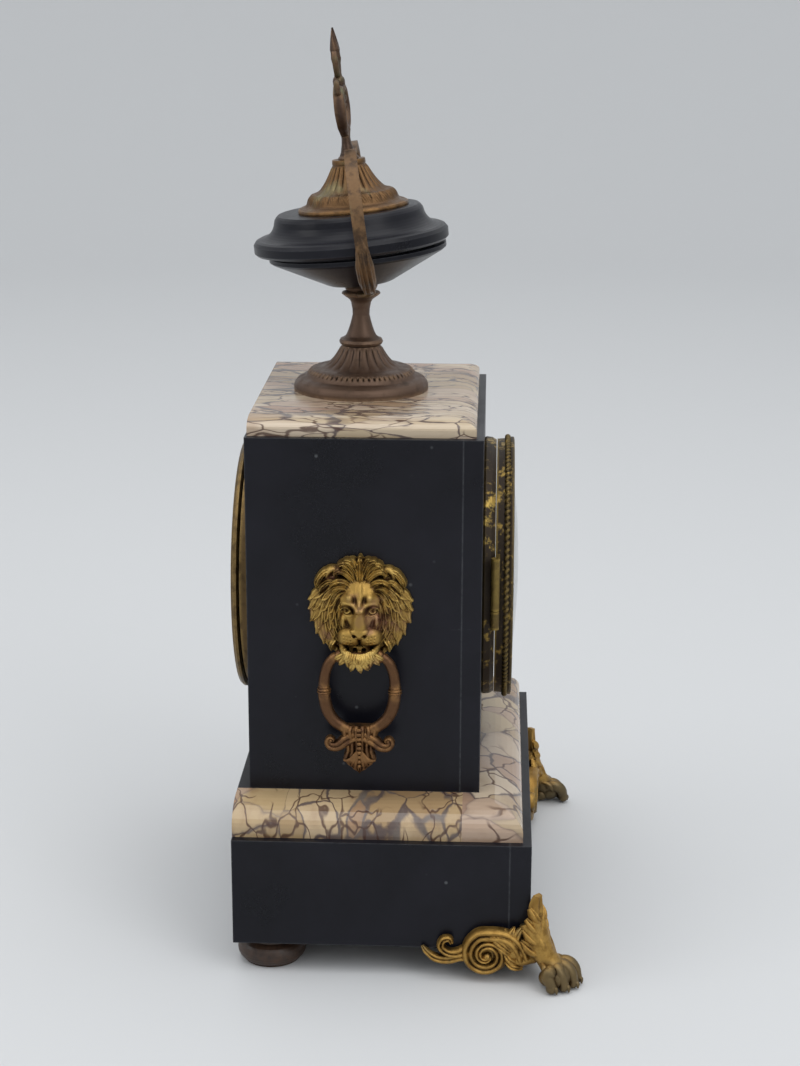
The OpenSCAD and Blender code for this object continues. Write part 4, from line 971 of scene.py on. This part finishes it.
def paw_foot():
    """Left front foot: scrolled wings on both faces of the corner, leg, paw and corner leaf."""
    foot = Shape()
    wing = paw_wing()
    foot.add(wing)
    # the same wing on the front face, mirrored across the corner
    swap = np.array([[0, 1, 0], [1, 0, 0], [0, 0, 1]])
    foot.add(wing, turn=swap, shift=(CORNER[0] - CORNER[1], CORNER[1] - CORNER[0], 0))
    ahead = 60                                     # degrees, so the paw points more to the front

    def aim(points):
        return diagonal(points, ahead)

    c, w = math.cos(math.radians(ahead)), math.sin(math.radians(ahead))
    middle = (w, -c, 0)
    axes = np.array([(-c, -w, 0), (w, -c, 0), (0, 0, 1)])
    # leg, heel and palm
    foot.bar(aim(curve([(0, -1, 31), (4, -1, 24), (8, -1, 17), (12, 0, 11), (16, 0, 8)], 8)),
             [4.8, 6.6, 5.9, 5.2, 5.4, 5.0], [6.0, 6.6, 6.0, 5.7, 6.4, 6.0], middle)
    for side in (-3.4, 0, 3.4):
        sinew = curve([(4.8, side - 1, 30), (9.4, side * 0.9 - 1, 22), (12.6, side * 0.7, 15), (15.6, side, 12)], 8)
        foot.bar(aim(sinew), [0.8, 1.6, 1.3, 0.5], [0.8, 1.9, 1.5, 0.5], middle)
    foot.rings(ball(aim([(16.0, 0, 6.6)])[0], (6.4, 7.8, 6.0), axes))
    foot.rings(ball(aim([(11.4, -1, 4.4)])[0], (5.0, 5.4, 4.3), axes))
    for side, reach in ((-8.2, 16.8), (-3.0, 20.6), (2.8, 22.4), (8.0, 21.6)):
        toe = curve([(11.5, side * 0.45, 9.6), (15, side * 0.8, 11.0), (reach - 2.4, side, 9.0),
                     (reach, side, 4.0)], 7)
        foot.bar(aim(toe), [2.2, 2.9, 3.3, 3.0, 2.5], [2.2, 2.8, 3.2, 3.0, 2.6], middle)
        foot.rings(ball(aim([(reach - 2.2, side, 8.4)])[0], (3.1, 3.1, 2.9), axes))
        foot.rings(ball(aim([(reach - 0.2, side, 3.5)])[0], (2.7, 2.8, 3.2), axes))
        claw = curve([(reach, side, 4.2), (reach + 2.2, side, 3.2), (reach + 2.7, side, 0.9)], 6)
        foot.bar(aim(claw), [1.4, 1.2, 0.4], [1.4, 1.2, 0.4], middle)
        tuft = curve([(8.5, side * 0.5, 13.5), (12.5, side * 0.95, 11.6), (14.4, side * 1.05, 7.5)], 6)
        foot.bar(aim(tuft), [0.9, 1.7, 0.3], [0.9, 1.5, 0.4], middle)
    # upright leaf that wraps the corner: a stem with lobes on both sides
    leaf = band_section(ridges=2, depth=0.35, base=-1.4)
    out = (-1, -1, 0)
    spine = curve([(9.5, 0, 14), (8.4, 0, 22), (6.0, 0, 31), (4.4, 0, 39), (5.2, 0, 45.6)], 8)
    foot.bar(diagonal(spine), [2.0, 4.4, 4.4, 3.2, 2.0], [1.6, 2.3, 2.3, 1.9, 1.2], out, leaf)
    for s in (-1, 1):
        for low, tip, width in (((8.4, 17), (1.2, 7.6, 23.0), 3.0), ((7.6, 22), (1.6, 6.6, 28.6), 2.8),
                                ((6.4, 27), (2.2, 5.2, 34.0), 2.5), ((5.2, 32), (3.0, 3.8, 39.4), 2.1)):
            middle_at = ((low[0] + tip[0]) / 2 + 2.0, s * tip[1] * 0.62, (low[1] + tip[2]) / 2 - 1.0)
            path = curve([(low[0], 0, low[1]), middle_at, (tip[0], s * tip[1], tip[2])], 7)
            foot.bar(diagonal(path), [1.4, width, width * 0.9, 1.0], [1.5, 1.9, 1.7, 0.8], out, leaf)
    return foot


# ---------------------------------------------------------------- urn
URN_Y, URN_Z, KNEE = 6, 267.5, 52.5        # axis and foot of the urn, and where its upper part starts
LEAN, FINIAL_LEAN = math.radians(5.6), math.radians(1.4)
HANDLE_SLANT, HANDLE_TURN = math.radians(2.3), math.radians(3)
DISH_TOP = 36.9                            # above the knee
CAP_TOP = DISH_TOP + 24
LEANED = np.array([[1, 0, 0], [0, math.cos(LEAN), math.sin(LEAN)], [0, -math.sin(LEAN), math.cos(LEAN)]])


def urn_piece(shape, *args, leaned=True, **kwargs):
    """Stands a shape made round its own Z axis on the marble, or on the leaning upper part."""
    turn, lift = (LEANED, KNEE) if leaned else (None, 0)
    return Shape().add(shape, turn=turn, shift=(0, URN_Y, URN_Z + lift)).piece(*args, **kwargs)


def tongues(angle, count):
    """Rounded ribs with narrow grooves between them, 0 in the grooves and 1 on the ribs."""
    return np.abs(np.sin(count * angle / 2)) ** 0.7


def urn_foot():
    """Round foot with a beaded step and twenty scalloped flutes."""
    rim = [(2.2, 0), (33.4, 0), (33.4, 2.2), (32.9, 3.6), (31.8, 5.0), (30.2, 5.9), (28.8, 6.3), (27.9, 6.6),
           (27.2, 7.4), (26.6, 8.6), (25.4, 9.9), (23.6, 10.6), (22.6, 10.9)]
    cone = [(22 - 12.6 * (i / 12) ** 0.62, 10.9 + 11.1 * (i / 12) ** 1.45) for i in range(13)]

    def swell(angle, r, z):
        ribs = np.clip((z - 11.2) / 1.2, 0, 1) * np.clip((21.8 - z) / 1.5, 0, 1)
        scallop = np.clip((z - 11.2 - 1.3 * (1 - tongues(angle, 20))) / 0.5, 0, 1)
        dots = np.exp(-((r - 25.6) / 0.75) ** 2) * (z > 8) * np.clip(np.cos(60 * angle) * 1.8 - 0.5, 0, 1)
        dr = 1.0 * ribs * scallop * (tongues(angle, 20) - 0.45)
        return dr - 0.9 * dots, -0.9 * dots + 0 * angle

    return Shape().rings(revolve(dense(rim + cone + [(2.2, 22)], 0.45), 480, swell))


def urn_stem():
    """The waisted stem, and the small knob under the bowl."""
    outline = [(2.7, 22), (8.6, 22), (10.3, 22.6), (10.9, 23.8), (10.3, 25.1), (9.0, 25.6)]
    outline += [(9 - 4.8 * (i / 10) ** 0.55, 25.5 + 11.5 * i / 10) for i in range(1, 11)]
    outline += [(4.3, 40), (5.0, 43.4), (5.8, 44.8), (8.6, 46.8), (9.6, 47.7), (9.2, 48.4), (6, 49.4), (2.7, 49.4)]
    stem = Shape().rings(revolve(dense(outline, 0.5), 96))
    below = [(2.2, -4.2), (5, -4.4), (7.2, -3.4), (8.1, -1.6), (7.4, 0.0), (6, 0.6), (2.2, 0.6)]
    knob = revolve(dense(below, 0.5), 72)
    return stem, Shape().rings(knob)


def urn_cap():
    """Concave fluted cap with a leaf band above its rim."""
    low = [(2.2, 0), (26.9, 0), (27.1, 0.9), (26.8, 1.8), (25.4, 2.6), (23.6, 3.2), (22.6, 3.9), (22.0, 5.0),
           (21.2, 6.4), (20.4, 7.4), (19.6, 8.2)]
    cone = [(19.6 - 11.4 * (i / 12) ** 0.7, 8.2 + 13 * (i / 12) ** 1.3) for i in range(1, 13)]

    def swell(angle, r, z):
        z = z - DISH_TOP
        flutes = np.clip((z - 9.8) / 1.5, 0, 1) * np.clip((21.2 - z) / 1.5, 0, 1)
        leaf = np.exp(-((z - 6.9) / 2.4) ** 2)
        wave = np.abs(np.sin(12 * angle)) ** 0.6
        fine = 0.5 + 0.5 * np.cos(96 * angle + 2.5 * z)
        dr = 1.0 * flutes * (tongues(angle, 24) - 0.7) + leaf * (0.4 * wave - 0.3 + 0.4 * fine * wave)
        return dr, 0.3 * leaf * wave

    outline = dense(low + cone + [(8, 21.4), (8.2, 22.2), (8, 24), (2.2, 24)], 0.4)
    return Shape().rings(revolve([(r, z + DISH_TOP) for r, z in outline], 576, swell))


def urn_finial():
    """Flat openwork ornament: a baluster between scrolls, with a flame on top."""
    baluster = [(2.2, 0), (6.7, 0), (6.8, 0.5), (6.6, 1.0), (5.6, 1.6), (4.4, 3.6), (3.3, 7.4), (2.9, 10),
                (3.3, 12.4), (3.8, 14), (3.2, 15.6), (2.4, 17), (2.1, 22), (2.4, 28), (2.3, 33.6), (2.9, 34.4),
                (3.9, 35.4), (4.0, 37.4), (3.5, 38.6), (2.6, 39.4), (2.2, 42), (2.5, 45), (3.3, 48),
                (2.9, 50.6), (3.1, 52), (2.4, 55), (1.4, 59), (0.4, 62.3), (0.1, 62.4)]

    def flame(angle, r, z):
        return np.clip((z - 44) / 3, 0, 1) * 0.25 * np.cos(6 * angle + z * 0.5), 0 * angle

    strap = band_section(ridges=2, depth=0.3, base=-0.9)
    # (points across and up, half widths, half depths, section) of the bars on each side
    bars = (
        ([(1.5, 12), (6, 14.4), (11.6, 18.4), (14.6, 24), (13.4, 30), (9, 33.6), (4.6, 32.4), (4.0, 28.8),
          (6.6, 27.4), (8.2, 29.2)], [1.6, 2.0, 2.2, 2.3, 2.2, 2.0, 1.7, 1.5, 1.3, 0.7],
         [2.6, 3.0, 3.6, 3.8, 3.6, 3.2, 2.8, 2.6, 2.4, 1.6], strap),
        ([(2.0, 15), (6, 19), (8.6, 22.6), (7.4, 25.4), (4.8, 24.2)], [1.0, 1.4, 1.4, 1.2, 0.6],
         [2.2, 2.8, 2.8, 2.4, 1.4], strap),
        ([(12.6, 31), (15.6, 33.4), (16.2, 37.0), (14.0, 38.0)], [1.2, 1.3, 1.1, 0.5], [2.0, 2.2, 1.8, 1.0], ROUND),
        ([(1, 39), (4.6, 42), (7.0, 46.4), (6.6, 50.4), (4.4, 50.2)], [0.9, 1.5, 1.5, 1.1, 0.5],
         [1.4, 2.0, 2.0, 1.6, 0.8], strap),
    )
    ornament = Shape().rings(revolve(dense(baluster, 0.4), 48, flame))
    for s in (-1, 1):
        for points, across, out, section in bars:
            path = curve([(s * x, 0, z) for x, z in points], 7)
            ornament.bar(path, across, out, (0, -1, 0), section)
        ornament.rings(ball((s * 6.4, 0, 28.6), (1.9, 3.4, 1.9)))
    c, w = math.cos(FINIAL_LEAN), math.sin(FINIAL_LEAN)
    bend = np.array([[1, 0, 0], [0, c, w], [0, -w, c]])
    flat = np.diag([1, 0.74, 1])
    return Shape().add(ornament, turn=bend @ flat, shift=(0, 0, CAP_TOP))


def urn_handle(mirror):
    """Strap handle in the leaned frame, with a leaf on its lower half and a curl at the foot."""
    path = curve([(8.2, -3.0), (13, -2.7), (20, -1.4), (33, 3.6), (45.8, 10.8), (54, 19.8), (56.0, 29),
                  (54.2, 39.5), (49.2, 49.8), (41.8, 58.8), (32.8, 64.3), (24, 66.4), (16, 65.6), (11, 63.8),
                  (7.1, 62.1)], 6)

    def upright(part, lift, sink=0.0, y=0.0):
        return np.array([(-r - lift, y, z - sink) for r, z in part])

    thin = [0.8, 1.0, 1.0, 1.0, 1.0, 0.95, 0.9, 0.9, 0.9, 0.9, 0.9, 0.9, 0.8, 0.8, 0.7]
    wide = [2.2, 2.4, 2.6, 2.8, 2.9, 3.0, 3.0, 3.0, 3.0, 3.0, 2.9, 2.8, 2.7, 2.6, 2.6]
    strap = Shape().bar(upright(path, 0), thin, wide, (0, 1, 0), -band_section(2, 0.25, -1.0)[:, ::-1])
    strap.bar(upright(path[12:38], 0.5, 0.6), [0.7, 1.2, 1.5, 1.5, 1.1, 0.5], [1.6, 3.5, 4.3, 4.4, 3.4, 0.8],
              (0, 1, 0))
    for y in (-2.2, 0, 2.2):
        strap.bar(upright(path[14:34], 1.7, 1.5, y), [0.4, 0.6, 0.6, 0.3], [0.5, 0.9, 0.8, 0.4], (0, 1, 0))
    hook = curve([(-14, -0.5, -2.8), (-11.0, 0.6, -3.9), (-9.6, 3.4, -4.4), (-7.4, 6.2, -4.0), (-3.6, 8.2, -3.4)], 7)
    strap.bar(hook, [2.2, 2.3, 2.0, 1.6, 0.9], [1.2, 1.4, 1.4, 1.2, 0.8], (0, 0, 1))
    c, w = math.cos(HANDLE_SLANT), math.sin(HANDLE_SLANT)
    slant = np.array([[1, 0, 0], [0, c, w], [0, -w, c]])
    c, w = math.cos(HANDLE_TURN), math.sin(HANDLE_TURN)
    spin = np.array([[c, -w, 0], [w, c, 0], [0, 0, 1]])
    hung = Shape().add(strap, turn=np.diag([mirror, 1, 1]), shift=(0, 0, -CAP_TOP))
    return Shape().add(hung, turn=spin @ slant, shift=(0, -2, CAP_TOP))


# ---------------------------------------------------------------- dial and bezel
DIAL_Z, DOOR_Y, DIAL_FRONT = 176.4, -71, -59.5


def facing(points, y):
    """(across, up) points on the dial, at depth y."""
    p = np.asarray(points, float)
    return np.stack([p[:, 0], 0 * p[:, 0] + y, DIAL_Z + p[:, 1]], -1)


def tile(shape, corners):
    """A thin raised patch on the dial."""
    shape.rings(np.stack([facing(corners, DIAL_FRONT + 0.05), facing(corners, DIAL_FRONT - 0.12)]))


def dial_marks():
    """Hour numerals and the minute track between its two rings."""
    marks = Shape()
    inner, outer = 38.4, 47.0                      # radii that the numerals reach
    strokes = {"I": [((0, -1), (0, 1), 0.85)], "V": [((-1.5, 1), (0, -1), 0.85), ((1.5, 1), (0, -1), 0.3)],
               "X": [((-1.5, 1), (1.5, -1), 0.85), ((1.5, 1), (-1.5, -1), 0.3)]}
    wide = {"I": 2.1, "V": 3.9, "X": 3.9}
    for hour, word in enumerate(("XII", "I", "II", "III", "IIII", "V", "VI", "VII", "VIII", "IX", "X", "XI")):
        a = -math.radians(30 * hour)
        c, s = math.cos(a), math.sin(a)
        at = -sum(wide[letter] for letter in word) / 2
        for letter in word:
            at += wide[letter] / 2
            for (x0, y0), (x1, y1), half in strokes[letter]:
                low, high = (inner + (outer - inner) * (y + 1) / 2 for y in (y0, y1))
                corners = ((at + x0 - half / 2, low), (at + x0 + half / 2, low),
                           (at + x1 + half / 2, high), (at + x1 - half / 2, high))
                tile(marks, [(c * x - s * y, s * x + c * y) for x, y in corners])
            at += wide[letter] / 2
    for minute in range(60):
        a = math.radians(6 * minute)
        half = 0.35 if minute % 5 == 0 else 0.12
        c, s = math.cos(a), math.sin(a)
        corners = ((48.8, -half), (48.8, half), (50.6, half), (50.6, -half))
        tile(marks, [(s * r + c * w, c * r - s * w) for r, w in corners])
    for r in (48.7, 50.7):
        add_turned(marks, [(r, 0), (r + 0.2, 0), (r + 0.2, 0.1), (r, 0.1)], DIAL_FRONT, 240)
    return marks


FACE_ON = np.array([[1, 0, 0], [0, 0, -1], [0, 1, 0]])      # turns an axis from Z to the front


def add_turned(shape, outline, y, spokes, swell=None, x=0, z=0):
    """A ring round a line that runs front to back; the outline is (radius, distance forward of y)."""
    turned = Shape().rings(revolve(outline, spokes, swell), closed=True)
    return shape.add(turned, turn=FACE_ON, shift=(x, y, DIAL_Z + z))


def bezel_rope():
    """Twisted rope round the edge of the glazed door."""
    rope = Shape()
    door_r, rope_r, strands = 65.2, 1.15, 128
    circle = [(door_r + rope_r * x, rope_r * y) for x, y in ROUND]
    turn = np.linspace(0, 2 * math.pi, len(ROUND), endpoint=False)[:, None]

    def swell(angle, r, z):
        bulge = 0.34 * np.cos(turn + strands * angle)
        return bulge * np.cos(turn), bulge * np.sin(turn)

    add_turned(rope, circle, DOOR_Y + 3.4, 1280, swell)
    return rope


def winding_rings():
    """Brass rings round the two winding holes."""
    rings = Shape()
    outline = [(2.75, -0.6), (3.7, -0.6), (3.7, 0.25), (3.35, 0.45), (2.75, 0.2)]
    for x in (-21, 21):
        add_turned(rings, outline, DIAL_FRONT, 48, x=x, z=-13)
    return rings


# ---------------------------------------------------------------- putting the pieces in place
mask = lion_mask().add(jaw_and_locks())
mask.piece("lion_left", "lion_gilt", stands_for=["lion_mask_left"])
mask.mirrored().piece("lion_right", "lion_gilt", stands_for=["lion_mask_right"])
ring = ring_handle()
ring.piece("ring_left", "ring_gilt", body="left_ring", stands_for=["ring_handle_left"])
ring.mirrored().piece("ring_right", "ring_gilt", body="right_ring", stands_for=["ring_handle_right"])
foot = paw_foot()
foot.piece("paw_left", "paw_gilt", stands_for=["paw_foot_left"])
foot.mirrored().piece("paw_right", "paw_gilt", stands_for=["paw_foot_right"])

stem, knob = urn_stem()
urn_piece(urn_foot(), "fluted_foot", "dark_bronze", leaned=False, stands_for=["urn_foot"],
          slot="patinated_bronze")
urn_piece(stem, "stem", "dark_bronze", leaned=False, stands_for=["urn_stem"], slot="patinated_bronze")
urn_piece(knob, "stem_knob", "dark_bronze", slot="patinated_bronze")
urn_piece(urn_cap(), "acanthus_cap", "cap_gilt", stands_for=["urn_cap"])
urn_piece(urn_finial(), "finial", "finial_bronze", stands_for=["urn_finial"], slot="patinated_bronze")
for side, mirror in (("left", 1), ("right", -1)):
    urn_piece(urn_handle(mirror), "handle_" + side, "handle_bronze", stands_for=["urn_handle_" + side],
              slot="patinated_bronze")

dial_marks().piece("dial_marks", "ink", slot="enamel")
winding_rings().piece("winding_rings", "movement_brass", slot="movement_brass")
bezel_rope().piece("bezel_rope", "case_brass", body="front_door", slot="brass_case", crease=70)
